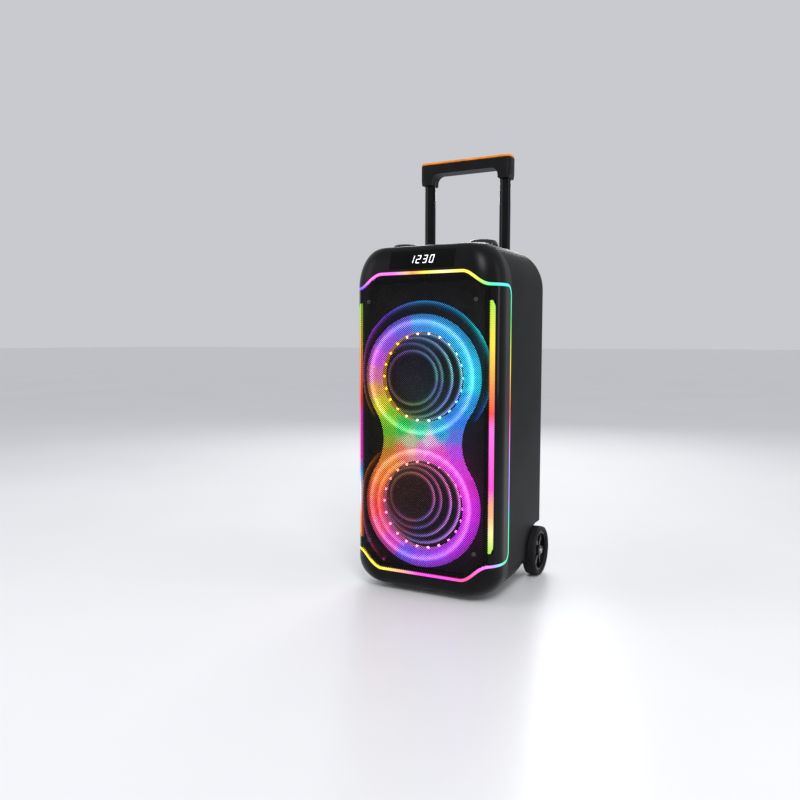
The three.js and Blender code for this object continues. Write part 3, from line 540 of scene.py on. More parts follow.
def slab(name, a, z, d0, d1, material, smooth=40):
    """A curved plate on the skin, its points marked with where they are on it laid flat."""
    piece = make_object(name, *skin_block(a, z, d0, d1), material, smooth)
    unrolled = piece.data.attributes.new("unrolled", "FLOAT_VECTOR", "POINT")
    flat = np.stack([a.ravel(), z.ravel(), np.zeros(a.size)], -1)
    unrolled.data.foreach_set("vector", np.concatenate([flat, flat]).ravel())
    fix_normals(piece)
    shade(piece, smooth)
    return piece


def colour_points(piece, colours, opacity=1.0):
    """Stores a colour and an opacity on every point, read by the glowing materials."""
    made = piece.data.attributes.new("glow", "FLOAT_COLOR", "POINT")
    full = np.column_stack([colours, np.broadcast_to(opacity, len(colours))])
    made.data.foreach_set("color", full.astype(np.float32).ravel())


def place_points(piece):
    """Where every point of a piece is."""
    out = np.empty(len(piece.data.vertices) * 3)
    piece.data.vertices.foreach_get("co", out)
    return out.reshape(-1, 3)


def blend_stops(t, stops):
    """Colours at t, read between stops of (place, colour)."""
    at = np.array([s[0] for s in stops], float)
    order = np.argsort(at)
    tints = np.array([s[1] for s in stops], float)[order]
    return np.stack([np.interp(t, at[order], tints[:, k]) for k in range(3)], -1)


def tint(code):
    """A screen colour such as ff5ae0 as linear red, green and blue."""
    parts = [int(code[i : i + 2], 16) / 255 for i in (0, 2, 4)]
    return tuple(p / 12.92 if p <= 0.04045 else ((p + 0.055) / 1.055) ** 2.4 for p in parts)


# ---------- shells ----------
def seam_line(shift):
    """The seam in side view, from the base over the crown, moved back by shift."""
    y, top = SEAM_Y + shift, SEAM_TOP_Y + shift
    points = [(y, -1), (y, SEAM_BEND_Z)]
    mid = (y, SEAM_BEND_Z + 0.62 * (TOP - SEAM_BEND_Z))
    for i in range(1, 15):
        t = i / 14
        points.append(
            (
                (1 - t) ** 2 * y + 2 * t * (1 - t) * mid[0] + t**2 * top,
                (1 - t) ** 2 * SEAM_BEND_Z + 2 * t * (1 - t) * mid[1] + t**2 * TOP,
            )
        )
    return points + [(top, 1)]


def ahead_of_seam(shift):
    return prism("x", [(-1, -1)] + seam_line(shift) + [(-1, 1)], -1, 1)


def behind_seam(shift):
    return prism("x", seam_line(shift) + [(1, 1), (1, -1)], -1, 1)


def strip_plug(grow, deep):
    """The space inside the strip's outer edge, in front of the seam and down to a depth."""
    turn = np.linspace(-SEAM_A - grow, -SEAM_A + STRIP_TURN, 9)
    front = np.linspace(-FLAT - CORNER_F, FLAT + CORNER_F, 61)
    a = np.concatenate([turn, front])
    a = np.unique(np.concatenate([a, -a]))
    end = SEAM_A + grow - 1e-5
    cols = np.clip(a, -end, end)
    edges = (strip_edge(cols, side, grow) for side in (-1, 1))
    grid = skin_grid(cols, *edges, np.linspace(0, 1, 24))
    return skin_block(*grid, -4 * MM, deep)


def body_shell(name, material, region, wall):
    """The body form, hollowed to a wall, on one side of the seam."""
    piece = make_object(name, *body_form(0), material)
    combine(piece, cut_body(*body_form(wall)), "DIFFERENCE")
    combine(piece, cut_body(*region), "INTERSECT")
    return piece


DISPLAY_HALF = 59.5 * MM
DISPLAY_LOW, DISPLAY_HIGH = TOP - 40.4 * MM, TOP - 10 * MM


def liner_opening():
    """The opening in the liner behind the grille, as a body along y."""
    x = np.linspace(-112 * MM, 112 * MM, 81)
    turn = np.arcsin(np.clip((np.abs(x) - FLAT) / CORNER_F, 0, 1))
    a = np.sign(x) * np.where(np.abs(x) < FLAT, np.abs(x), FLAT + CORNER_F * turn)
    ledge = -7 * MM
    low, high = strip_edge(a, -1, ledge), strip_edge(a, 1, ledge)
    outline = list(zip(x, low)) + list(zip(x[::-1], high[::-1]))
    return prism("y", outline, FRONT - 10 * MM, FRONT + 60 * MM)


def make_front_frame(material):
    """The front moulding, with its grille opening, strip groove and display pocket."""
    piece = body_shell("front_frame_shell", material, ahead_of_seam(-GAP / 2), LINER_WALL)
    groove = strip_plug(STRIP_W / 2 + GAP, STRIP_GROOVE_FRONT)
    combine(piece, cut_body(*groove), "DIFFERENCE")
    combine(piece, cut_body(*liner_opening()), "DIFFERENCE")
    d = DISPLAY_HALF + GAP
    window = rounded_rect(-d, DISPLAY_LOW - GAP, d, DISPLAY_HIGH + GAP, 3.4 * MM)
    inner = make_object("pocket", *prism("y", window, -1, FRONT + 45 * MM), material)
    fix_normals(inner)
    combine(inner, cut_body(*body_form(2.2 * MM)), "DIFFERENCE")
    combine(piece, inner, "DIFFERENCE")
    shade(piece, 30)
    bevel(piece, 0.5 * MM, 2, 40)
    return piece


# Wheel arches, underside and openings, as in the CAD part.
WHEEL_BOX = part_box("wheel_tyre_right")
WHEEL_R = (WHEEL_BOX[1][2] - WHEEL_BOX[0][2]) / 2
WHEEL_Y = (WHEEL_BOX[0][1] + WHEEL_BOX[1][1]) / 2
WHEEL_CENTRE = (0, WHEEL_Y, WHEEL_R)
WHEEL_IN = WHEEL_BOX[0][0]
ARCH_X = WHEEL_IN - 6 * MM
ARCH_CLEAR = 7 * MM
SLOPE_FROM, SLOPE_TO, REAR_BASE_Z = FRONT + 98 * MM, FRONT + 146 * MM, 36 * MM


def arch_outline(grow):
    """The wheel arch in side view: round in front, square behind."""
    r = WHEEL_R + ARCH_CLEAR + grow
    points = [(1, WHEEL_R + r), (1, -1), (WHEEL_Y - r, -1)]
    for i in range(25):
        a = math.pi - math.pi / 2 * i / 24
        points.append((WHEEL_Y + r * math.cos(a), WHEEL_R + r * math.sin(a)))
    return points


def arch_cutter(sign, grow):
    """The space over one wheel, open to the outside."""
    inner = ARCH_X - grow
    span = (inner, 1) if sign > 0 else (-1, -inner)
    return prism("x", arch_outline(grow), *span)


def underside_cutter(grow):
    """The space under the rear of the body, sloped at its front."""
    y0, y1, z1 = SLOPE_FROM - grow, SLOPE_TO - grow, REAR_BASE_Z + grow
    return prism("x", [(y0, -1), (y0, BOTTOM + grow / 2), (y1, z1), (1, z1), (1, -1)], -1, 1)


PANEL_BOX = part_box("rear_panel")
PORT_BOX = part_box("bass_port")
SLEEVE_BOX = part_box("handle_sleeve_right")
BUTTON_PANEL_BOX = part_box("button_panel")


def opening_cutters():
    """Everything that goes through the rear cabinet's skin."""
    port_r = (PORT_BOX[1][0] - PORT_BOX[0][0]) / 2 + GAP
    port_z = (PORT_BOX[0][2] + PORT_BOX[1][2]) / 2
    parts = [turned(rod(port_r, 0, 1), "y", (0, 0, port_z), 72)]
    (px0, _, pz0), (px1, _, pz1) = PANEL_BOX
    grown = rounded_rect(px0 - GAP, pz0 - GAP, px1 + GAP, pz1 + GAP, 2 * MM)
    parts.append(prism("y", grown, 0, 1))
    (bx0, by0, bz0), (bx1, by1, _) = BUTTON_PANEL_BOX
    grown = rounded_rect(bx0 - GAP, by0 - GAP, bx1 + GAP, by1 + GAP, 1 * MM)
    parts.append(prism("z", grown, bz0 - 20 * MM, 1))
    sleeve_r = (SLEEVE_BOX[1][0] - SLEEVE_BOX[0][0]) / 2 + GAP
    sleeve_y = (SLEEVE_BOX[0][1] + SLEEVE_BOX[1][1]) / 2
    for sign in (-1, 1):
        x = sign * (SLEEVE_BOX[0][0] + SLEEVE_BOX[1][0]) / 2
        parts.append(turned(rod(sleeve_r, TOP - 40 * MM, 1), "z", (x, sleeve_y, 0), 48))
    return join_parts(parts)


def trimmed_form(name, skin, grow, material):
    """The body form without the wheel arches and the space under it."""
    piece = make_object(name, *body_form(skin), material)
    combine(piece, cut_body(*underside_cutter(grow)), "DIFFERENCE")
    for sign in (-1, 1):
        combine(piece, cut_body(*arch_cutter(sign, grow)), "DIFFERENCE")
    return piece


def panel_cup(material):
    """The walls and ledge of the recess that holds the rear panel."""
    (x0, y0, z0), (x1, _, z1) = PANEL_BOX
    wall, lip = 3 * MM, 2 * MM
    back = y0 - GAP
    outer = rounded_rect(x0 - GAP - wall, z0 - GAP - wall, x1 + GAP + wall, z1 + GAP + wall, 4 * MM)
    inner = rounded_rect(x0 - GAP, z0 - GAP, x1 + GAP, z1 + GAP, 2 * MM)
    through = rounded_rect(x0 + lip, z0 + lip, x1 - lip, z1 - lip, 2 * MM)
    piece = make_object("panel_cup", *prism("y", outer, back - wall, REAR - 2.4 * MM), material)
    fix_normals(piece)
    combine(piece, cut_body(*prism("y", inner, back, REAR + 10 * MM)), "DIFFERENCE")
    combine(piece, cut_body(*prism("y", through, back - 10 * MM, REAR)), "DIFFERENCE")
    shade(piece, 30)
    return piece


def make_rear_cabinet(material):
    """The moulding behind the seam, with its arches, openings and panel recess."""
    piece = trimmed_form("rear_cabinet_shell", 0, 0, material)
    combine(piece, trimmed_form("hollow", WALL, WALL * 0.8, material), "DIFFERENCE")
    combine(piece, cut_body(*behind_seam(GAP / 2)), "INTERSECT")
    combine(piece, cut_body(*opening_cutters()), "DIFFERENCE")
    groove = strip_plug(STRIP_W / 2 + GAP, STRIP_GROOVE_REAR)
    combine(piece, cut_body(*groove), "DIFFERENCE")
    piece = merge_objects("rear_cabinet_shell", [piece, panel_cup(material)])
    shade(piece, 30)
    bevel(piece, 0.6 * MM, 2, 40)
    return piece


# ---------- light guides ----------
VIOLET, PINK, MAGENTA, HOT = tint("7a3cff"), tint("ff63e6"), tint("ff22d0"), tint("ff2f8a")
PEACH, ORANGE, RED, YELLOW = tint("ffb27a"), tint("ff8a14"), tint("ff2a18"), tint("ffe21a")
PALE, LIME, GREEN, MINT = tint("fff3a0"), tint("a8e820"), tint("35e04a"), tint("2ff0a8")
CYAN, SKY, BLUE, LILAC = tint("18d6e8"), tint("2fa8ff"), tint("2a6cff"), tint("b08cff")
SALMON, WHITE = tint("ff9a80"), tint("fff4ff")

# Where each colour of the outline sits: (distance round the skin, height) and the colour.
STRIP_COLOURS = [
    ((-118, 530), VIOLET), ((-95, 543), PINK), ((-50, 552), PINK), ((-28, 552), PEACH),
    ((-15, 552), ORANGE), ((8, 552), YELLOW), ((42, 552), PALE), ((76, 552), YELLOW),
    ((92, 545), YELLOW), ((108, 534), LIME), ((124, 530), MINT), ((160, 530), CYAN),
    ((184, 505), MINT), ((184, 475), GREEN), ((184, 440), LIME), ((184, 400), YELLOW),
    ((184, 357), ORANGE), ((184, 319), RED), ((184, 281), PINK), ((184, 223), LILAC),
    ((184, 173), LILAC), ((184, 146), CYAN), ((184, 120), MINT), ((184, 85), MINT),
    ((160, 66), MINT), ((134, 65), LILAC), ((117, 63), PINK), ((88, 45), HOT),
    ((50, 39), MAGENTA), ((-4, 39), MAGENTA), ((-42, 39), PEACH), ((-70, 39), YELLOW),
    ((-118, 63), YELLOW), ((-184, 100), LIME), ((-184, 180), GREEN), ((-184, 260), CYAN),
    ((-184, 360), BLUE), ((-184, 450), VIOLET),
]
BAR_COLOURS_RIGHT = [
    (88, LIME), (123, PALE), (150, PEACH), (173, SALMON), (195, MAGENTA), (295, PINK),
    (319, RED), (364, ORANGE), (431, YELLOW), (504, LIME),
]
BAR_COLOURS_LEFT = [
    (88, ORANGE), (125, ORANGE), (160, WHITE), (175, WHITE), (210, SKY), (232, MAGENTA),
    (305, MAGENTA), (335, RED), (400, ORANGE), (500, LIME),
]


def strip_path():
    """The strip's centre line as places on the skin, clockwise from the middle of the top."""
    end = SEAM_A - STRIP_TURN
    top_a = np.linspace(0, end, 70)
    turn = np.linspace(0, math.pi / 2, 10)[1:]
    corner_a = end + STRIP_TURN * np.sin(turn)
    top_corner = SHOULDER_TOP - STRIP_TURN + STRIP_TURN * np.cos(turn)
    low_corner = SHOULDER_BOTTOM + STRIP_TURN - STRIP_TURN * np.cos(turn)
    side_z = np.linspace(SHOULDER_TOP - STRIP_TURN, SHOULDER_BOTTOM + STRIP_TURN, 130)[1:-1]
    a = np.concatenate([top_a, corner_a, np.full(len(side_z), SEAM_A), corner_a[::-1], top_a[::-1]])
    z = np.concatenate(
        [
            strip_line(x_of(top_a), STRIP_TOP, SHOULDER_TOP),
            top_corner,
            side_z,
            low_corner[::-1],
            strip_line(x_of(top_a[::-1]), STRIP_BOTTOM, SHOULDER_BOTTOM),
        ]
    )
    return np.concatenate([a, -a[-2:0:-1]]), np.concatenate([z, z[-2:0:-1]])


def ribbon(name, a, z, width, d_top, d_bottom, material, crown=0.8 * MM):
    """A rounded bar laid in the skin along a closed path, and how many points go across it."""
    da = np.roll(a, -1) - np.roll(a, 1)
    dz = np.roll(z, -1) - np.roll(z, 1)
    length = np.hypot(da, dz)
    na, nz = -dz / length, da / length
    arch = np.linspace(0, math.pi, 9)
    across = [(math.cos(t), d_top + crown * (1 - math.sin(t))) for t in arch]
    across += [(-1, d_bottom), (1, d_bottom)]
    verts = []
    for u, depth in across:
        verts.append(on_skin(a + na * u * width / 2, z + nz * u * width / 2, depth))
    n, m = len(a), len(across)
    verts = np.stack(verts, 1).reshape(-1, 3)
    faces = []
    for i in range(n):
        k = (i + 1) % n
        for j in range(m):
            l = (j + 1) % m
            faces.append([i * m + j, k * m + j, k * m + l, i * m + l])
    return make_solid(name, verts, faces, material, 50), m


def make_outline_strip(material):
    """The light guide round the grille, tinted along its length."""
    a, z = strip_path()
    piece, across = ribbon("outline_strip_glow", a, z, STRIP_W, 0, STRIP_DEEP, material)
    stops = []
    for (sa, sz), colour in STRIP_COLOURS:
        nearest = np.argmin((a - sa * MM) ** 2 + (z - sz * MM) ** 2)
        stops.append((nearest, colour))
    first = min(stops)
    last = max(stops)
    stops += [(first[0] + len(a), first[1]), (last[0] - len(a), last[1])]
    colours = blend_stops(np.arange(len(a)), stops)
    colour_points(piece, np.repeat(colours, across, 0))
    return piece


def make_bar(side, sign, stops, material):
    """An upright light bar on a front corner, its outer corners slanted."""
    centre = FLAT + CORNER_F * BAR_ANGLE
    half = BAR_W / 2
    ends = np.linspace(0, 0.02, 8), np.linspace(0.98, 1, 8)
    rows = np.concatenate([ends[0], np.linspace(0.02, 0.98, 60)[1:-1], ends[1]])
    height = BAR_TOP - BAR_BOTTOM
    cols = np.linspace(-1, 1, 13)
    grid_z = np.repeat((BAR_BOTTOM + height * rows)[:, None], len(cols), 1)
    near = np.minimum(rows, 1 - rows) * height
    corner = 9 * MM
    inset = np.clip(1 - near / corner, 0, 1) * corner * 0.5
    left = np.full(len(rows), -half)
    right = half - inset
    grid_a = centre + left[:, None] + (right - left)[:, None] * (cols[None, :] + 1) / 2
    piece = slab(f"light_bar_glow_{side}", sign * grid_a, grid_z, 0, BAR_DEEP, material)
    where = place_points(piece)[:, 2] / MM
    colour_points(piece, blend_stops(where, stops))
    return piece


def make_cheek(side, sign, material):
    """The smooth panel between a light bar and the outline strip, with the bar's slot left open."""
    centre = FLAT + CORNER_F * BAR_ANGLE
    inner = centre - BAR_W / 2
    outer = centre + BAR_W / 2 + GAP
    end = SEAM_A - STRIP_W / 2 - GAP
    cols = np.linspace(outer, end, 40)
    grow = -STRIP_W / 2 - GAP
    above, below = BAR_TOP + GAP, BAR_BOTTOM - GAP
    edge = np.linspace(inner, outer, 12)
    spans = (
        (f"cheek_{side}", cols, strip_edge(cols, -1, grow), strip_edge(cols, 1, grow), 60),
        ("cheek_end", edge, above, strip_edge(edge, 1, grow), 8),
        ("cheek_end", edge, strip_edge(edge, -1, grow), below, 8),
    )
    parts = []
    for name, at, low, high, rows in spans:
        grid_a, grid_z = skin_grid(at, low, high, np.linspace(0, 1, rows))
        parts.append(slab(name, sign * grid_a, grid_z, 0, CHEEK_WALL, material))
    return merge_objects(f"cheek_{side}", parts)


def merge_objects(name, pieces):
    """Several objects as one, their points and attributes kept."""
    bpy.ops.object.select_all(action="DESELECT")
    for piece in pieces:
        piece.select_set(True)
    bpy.context.view_layer.objects.active = pieces[0]
    bpy.ops.object.join()
    pieces[0].name = name
    return pieces[0]


SCREWS = [f"grille_screw_{level}_{side}" for level in ("upper", "lower") for side in ("left", "right")]


def make_grille(material):
    """The perforated skin over the front, reaching to the inner edge of each light bar."""
    end = FLAT + CORNER_F * BAR_ANGLE - BAR_W / 2 - GAP
    half = np.concatenate([np.linspace(0, FLAT, 46), np.linspace(FLAT, end, 22)[1:]])
    cols = np.concatenate([-half[:0:-1], half])
    grow = -STRIP_W / 2 - GAP
    edges = (strip_edge(cols, side, grow) for side in (-1, 1))
    grid = skin_grid(cols, *edges, np.linspace(0, 1, 110))
    piece = slab("grille_mesh", *grid, 0, GRILLE_SHEET, material)
    for name in SCREWS:
        (x0, _, z0), (x1, _, z1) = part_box(name)
        hole = rod(0.5 * (x1 - x0) + GAP, -1, 0)
        cutter = cut_body(*turned(hole, "y", (0, 0, 0), 24))
        cutter.location = (0.5 * (x0 + x1), 0, 0.5 * (z0 + z1))
        bpy.context.view_layer.update()
        combine(piece, cutter, "DIFFERENCE")
    return piece


def perforated(name, colour, rough, pitch, hole):
    """Painted sheet with round holes in a diamond grid; the holes let the lights behind through."""
    look = Look(name)
    stored = look.node("Attribute", attribute_name="unrolled")
    turned_map = look.node("Mapping")
    turned_map.inputs["Rotation"].default_value = (0, 0, math.radians(45))
    look.link(stored.outputs["Vector"], turned_map.inputs["Vector"])
    cells = look.node("TexVoronoi", voronoi_dimensions="2D", Scale=1 / pitch, Randomness=0.0)
    look.link(turned_map.outputs["Vector"], cells.inputs["Vector"])
    edge = look.node("MapRange")
    edge.inputs["From Min"].default_value = hole - 0.03
    edge.inputs["From Max"].default_value = hole + 0.03
    look.link(cells.outputs["Distance"], edge.inputs["Value"])
    tone = look.noise(30, 3)
    dark = tuple(c * 0.75 for c in colour)
    look.link(look.ramp(tone, [(0.3, dark), (0.7, colour)]), look.shader.inputs["Base Color"])
    look.link(look.spread(look.noise(200, 2), rough - 0.06, rough + 0.06), look.shader.inputs["Roughness"])
    look.set(Specular_IOR_Level=0.12)
    look.bump(edge.outputs["Result"], 0.35, 0.0004)
    look.link(edge.outputs["Result"], look.shader.inputs["Alpha"])
    return look.material


def light_lines(lines):
    """A function for how strongly (x, z, radius, from, to, width, strength) arcs light a point."""

    def at(x, z):
        total = np.zeros_like(x)
        for cx, cz, r, a0, a1, width, strength in lines:
            off = np.hypot(x - cx * MM, z - cz * MM) - r * MM
            clock = np.degrees(np.arctan2(z - cz * MM, x - cx * MM)) % 360
            span = (clock - a0) % 360
            reach = np.where(off > 0, width * 0.35 * MM, width * MM)
            sharp = np.exp(-(off / reach) ** 2)
            total = np.maximum(total, strength * (span < (a1 - a0)) * sharp)
        return total

    return at


# Colours round each lobe by angle in degrees: 0 points right, 90 points up.
UPPER_LOBE = [
    (-90, tint("14c890")), (-120, LIME), (-150, tint("ffb020")), (-180, tint("ff70c0")),
    (-210, tint("d050ff")), (-240, tint("7a50ff")), (-270, SKY), (0, CYAN), (45, CYAN),
    (60, SKY), (90, SKY), (-30, BLUE), (-60, tint("2a90ff")),
]
LOWER_LOBE = [
    (90, HOT), (60, MAGENTA), (30, MAGENTA), (0, tint("e020ff")), (-30, tint("c030ff")),
    (-60, tint("b040ff")), (-90, tint("9040ff")), (-105, tint("6a50ff")), (-130, HOT),
    (-150, PINK), (-180, RED), (-210, ORANGE), (-240, ORANGE), (-255, tint("ff6a30")), (-270, HOT),
]


def lobe_colour(angle, stops):
    """Colours at angles in degrees, read round the full turn of stops."""
    turn = sorted((at % 360, colour) for at, colour in stops)
    (first, first_colour), (last, last_colour) = turn[0], turn[-1]
    turn += [(first + 360, first_colour), (last - 360, last_colour)]
    return blend_stops(angle % 360, turn)


def waist_arc():
    """Radius of the concave waist arcs, and the angle at which they touch the lobes."""
    half = (UPPER_Z - LOWER_Z) / 2
    r = (BAND_R**2 - half**2 - WAIST**2) / (2 * (WAIST - BAND_R))
    return r, math.atan2(half, WAIST + r)


def figure_outline(steps=110):
    """A figure eight: two round lobes and a waist whose arcs touch both, as (x, z) points."""
    r, touch = waist_arc()
    points = []

    def arc(cx, cz, radius, start, end, count):
        for k in range(count):
            t = start + (end - start) * k / count
            points.append((cx + radius * math.cos(t), cz + radius * math.sin(t)))

    arc(0, UPPER_Z, BAND_R, -touch, math.pi + touch, steps)
    arc(-WAIST - r, MID_Z, r, touch, -touch, 30)
    arc(0, LOWER_Z, BAND_R, math.pi - touch, 2 * math.pi + touch, steps)
    arc(WAIST + r, MID_Z, r, math.pi + touch, math.pi - touch, 30)
    return points


def near_driver(x, z):
    """Distance from the centre of the nearer driver."""
    return min(math.hypot(x, z - LOWER_Z), math.hypot(x, z - UPPER_Z))


def in_figure(x, z, inset):
    """Whether a place is inside the figure eight by at least an inset."""
    r, touch = waist_arc()
    if near_driver(x, z) < BAND_R - inset:
        return True
    if abs(z - MID_Z) > r * math.sin(touch):
        return False
    return abs(x) < WAIST + r and math.hypot(abs(x) - WAIST - r, z - MID_Z) > r + inset


# Colours over the lit plate: (x, z) in mm and the colour there, blended in between.
PLATE_COLOURS = [
    ((0, 470), tint("45a0ff")), ((-38, 462), tint("7a6cff")), ((-70, 440), tint("a85cff")),
    ((-90, 412), tint("e060ff")), ((-98, 380), tint("f080c0")), ((-98, 352), tint("ffb050")),
    ((-86, 325), tint("e8e030")), ((-62, 300), tint("90e030")), ((-35, 290), tint("30d860")),
    ((0, 282), tint("20d8a8")), ((35, 288), tint("28b8f0")), ((66, 306), tint("2f8cff")),
    ((90, 335), tint("28a8ff")), ((98, 370), tint("20d0f0")), ((90, 412), tint("28c8f8")),
    ((66, 445), tint("2fb8ff")), ((35, 464), tint("38b0ff")),
    ((-66, 282), tint("70d030")), ((-68, 262), tint("a8b830")), ((-64, 244), tint("e08a28")),
    ((-20, 266), tint("d8e0b0")), ((12, 268), tint("ffd0ff")), ((66, 276), tint("6a80ff")),
    ((66, 256), tint("d050ff")), ((20, 250), tint("ff60e0")), ((-20, 248), tint("ffa0a0")),
    ((0, 252), tint("ff80d8")), ((35, 240), tint("ff50e0")), ((70, 226), tint("f040f0")),
    ((92, 195), tint("f030e8")), ((100, 158), tint("e028f0")), ((92, 118), tint("d028f0")),
    ((66, 86), tint("c030f0")), ((35, 66), tint("b040ff")), ((0, 58), tint("a050ff")),
    ((-35, 64), tint("8058ff")), ((-62, 84), tint("e040c0")), ((-86, 112), tint("ff5090")),
    ((-98, 145), tint("ff4048")), ((-98, 175), tint("ff6030")), ((-86, 205), tint("ff8028")),
    ((-62, 232), tint("ff9030")), ((-35, 246), tint("ff8060")),
]


# Brighter arcs on the plate: centre x and z, radius, from and to in degrees, width, strength.
PLATE_LINES = [
    (-3, 377, 96, 0, 360, 7, 1.0),
    (-5, 158, 94, 0, 360, 7, 1.0),
    (-5, 158, 79, 110, 250, 5, 0.8),
]


def plate_colours(x, z):
    """The plate's colour at each place: a mean of its listed colours, mostly of the near ones."""
    total = np.zeros((len(x), 3))
    weight = np.zeros(len(x))
    for (cx, cz), colour in PLATE_COLOURS:
        w = 1 / (((x / MM - cx) ** 2 + (z / MM - cz) ** 2) / 100 + 1) ** 3
        total += w[:, None] * np.array(colour)
        weight += w
    return total / weight[:, None]


def figure_mesh():
    """Points and triangles of the plate's face: a figure eight with two round holes."""
    outline = figure_outline()
    r = OPENING_R + PLATE_CLEAR
    turn = np.linspace(0, 2 * math.pi, 121)[:-1]
    holes = [[(r * math.cos(t), centre + r * math.sin(t)) for t in turn] for centre in (LOWER_Z, UPPER_Z)]
    points = [Vector(p) for p in outline]
    loops = [list(range(len(outline)))]
    for ring in holes:
        start = len(points)
        points += [Vector(p) for p in ring]
        loops.append(list(range(start, start + len(ring))))
    edges = [(loop[i], loop[(i + 1) % len(loop)]) for loop in loops for i in range(len(loop))]
    step = 2.6 * MM
    xs = np.arange(-BAND_R + step, BAND_R, step)
    zs = np.arange(LOWER_Z - BAND_R + step, UPPER_Z + BAND_R, step)
    for x in xs:
        for z in zs:
            if in_figure(x, z, step * 0.5) and near_driver(x, z) > OPENING_R + step * 0.6:
                points.append(Vector((x, z)))
    verts, _, tris, _, _, _ = delaunay_2d_cdt(points, edges, [], 0, 1e-7)
    flat = np.array([tuple(v) for v in verts])
    keep = []
    for tri in tris:
        mx, mz = flat[list(tri)].mean(0)
        if near_driver(mx, mz) >= r and in_figure(mx, mz, 0):
            keep.append(tri)
    return flat, keep


def make_diffuser(material):
    """The milky figure-eight plate behind the grille, its points tinted by their place."""
    flat, tris = figure_mesh()
    form = bmesh.new()
    front = [form.verts.new((x, PLATE_FRONT, z)) for x, z in flat]
    for tri in tris:
        form.faces.new([front[i] for i in tri])
    back = bmesh.ops.extrude_face_region(form, geom=form.faces[:])
    for item in back["geom"]:
        if isinstance(item, bmesh.types.BMVert):
            item.co.y = PLATE_BACK
    loose = [v for v in form.verts if not v.link_faces]
    bmesh.ops.delete(form, geom=loose, context="VERTS")
    bmesh.ops.recalc_face_normals(form, faces=form.faces)
    mesh = bpy.data.meshes.new("diffuser_glow")
    form.to_mesh(mesh)
    form.free()
    piece = bpy.data.objects.new("diffuser_glow", mesh)
    bpy.context.scene.collection.objects.link(piece)
    mesh.materials.append(material)
    shade(piece, 30)
    where = place_points(piece)
    x, z = where[:, 0], where[:, 2]
    centre = np.where(z > MID_Z, UPPER_Z, LOWER_Z)
    colours = plate_colours(x, z)
    lit = light_lines(PLATE_LINES)(x, z)[:, None]
    edge = np.hypot(x, z - centre)
    outside = np.clip((edge - BAND_R + 12 * MM) / (12 * MM), 0, 1) * (np.abs(z - MID_Z) > 60 * MM)
    level = 0.75 - 0.3 * outside
    colours = colours * level[:, None] * (1 + 0.8 * lit) + 0.2 * lit**2
    colour_points(piece, colours)
    return piece


def film(name, strength, rough=0.2):
    """A clear film with light in it: the stored opacity is how lit each point is."""
    look = Look(name)
    stored = look.node("Attribute", attribute_name="glow")
    mottle = look.spread(look.noise(300, 2), 0.92, 1.08)
    scaled = look.node("Math", operation="MULTIPLY")
    scaled.inputs[1].default_value = strength
    look.link(mottle, scaled.inputs[0])
    look.set(Base_Color=(0.004, 0.005, 0.007, 1), Roughness=rough)
    look.link(stored.outputs["Color"], look.shader.inputs["Emission Color"])
    look.link(scaled.outputs[0], look.shader.inputs["Emission Strength"])
    look.link(stored.outputs["Alpha"], look.shader.inputs["Alpha"])
    return look.material


def polar_disc(name, radius, y0, y1, z, material, rings=62, sides=180):
    """A closed round disc facing the front, its face divided finely enough to carry colours."""
    verts = [(0, y0, z)]
    for i in range(1, rings + 1):
        r = radius * i / rings
        for j in range(sides):
            t = 2 * math.pi * j / sides
            verts.append((r * math.cos(t), y0, z + r * math.sin(t)))
    rim = 1 + (rings - 1) * sides
    verts += [(x, y1, w) for x, _, w in verts[rim : rim + sides]]
    faces = []
    for j in range(sides):
        k = (j + 1) % sides
        faces.append([0, 1 + k, 1 + j])
        for i in range(rings - 1):
            p, q = 1 + i * sides, 1 + (i + 1) * sides
            faces.append([p + j, p + k, q + k, q + j])
        faces.append([rim + j, rim + k, rim + sides + k, rim + sides + j])
    faces.append([rim + sides + j for j in range(sides)])
    return make_solid(name, verts, faces, material, 30)


# Rings of light seen in each driver: centre x and z, radius, brightness.
UPPER_RINGS = [(-23, 375.5, 47, 0.8), (-26, 375, 60, 0.7), (-17, 376, 69, 0.9), (-6, 377, 75, 1.0)]
LOWER_RINGS = [(-23, 168.5, 43, 0.8), (-21, 167, 54, 0.7), (-13, 164, 64, 0.9), (-6, 162, 73, 1.0)]


def make_ripple(place, z, rings, stops, material):
    """The clear guard in a driver opening, lit along its rings."""
    y = FRONT + 19 * MM
    piece = polar_disc(f"ripple_film_{place}", OPENING_R - 1.5 * MM, y, y + 2 * MM, z, material)
    where = place_points(piece)
    x, w = where[:, 0], where[:, 2]
    across = 0.45 + 0.55 * np.clip((x / MM + 60) / 110, 0, 1)
    full_rings = [(cx, cz, r, 0, 360, 4, strength) for cx, cz, r, strength in rings]
    lines = across * light_lines(full_rings)(x, w)
    front = where[:, 1] < y + 1 * MM
    clock = np.degrees(np.arctan2(w - z, x))
    colours = lobe_colour(clock, stops)
    colours = (0.75 * colours + 0.25 * np.array(WHITE)) * (0.06 + lines)[:, None]
    colour_points(piece, colours, np.where(front, np.clip(0.08 + 0.8 * lines, 0, 1), 0.08))
    return piece


# Faint arcs outside the lobes: centre x and z, radius, from and to in degrees.
HALOS = {"upper": (5, 384, 121, -40, 220), "lower": (0, 152, 121, 125, 235)}


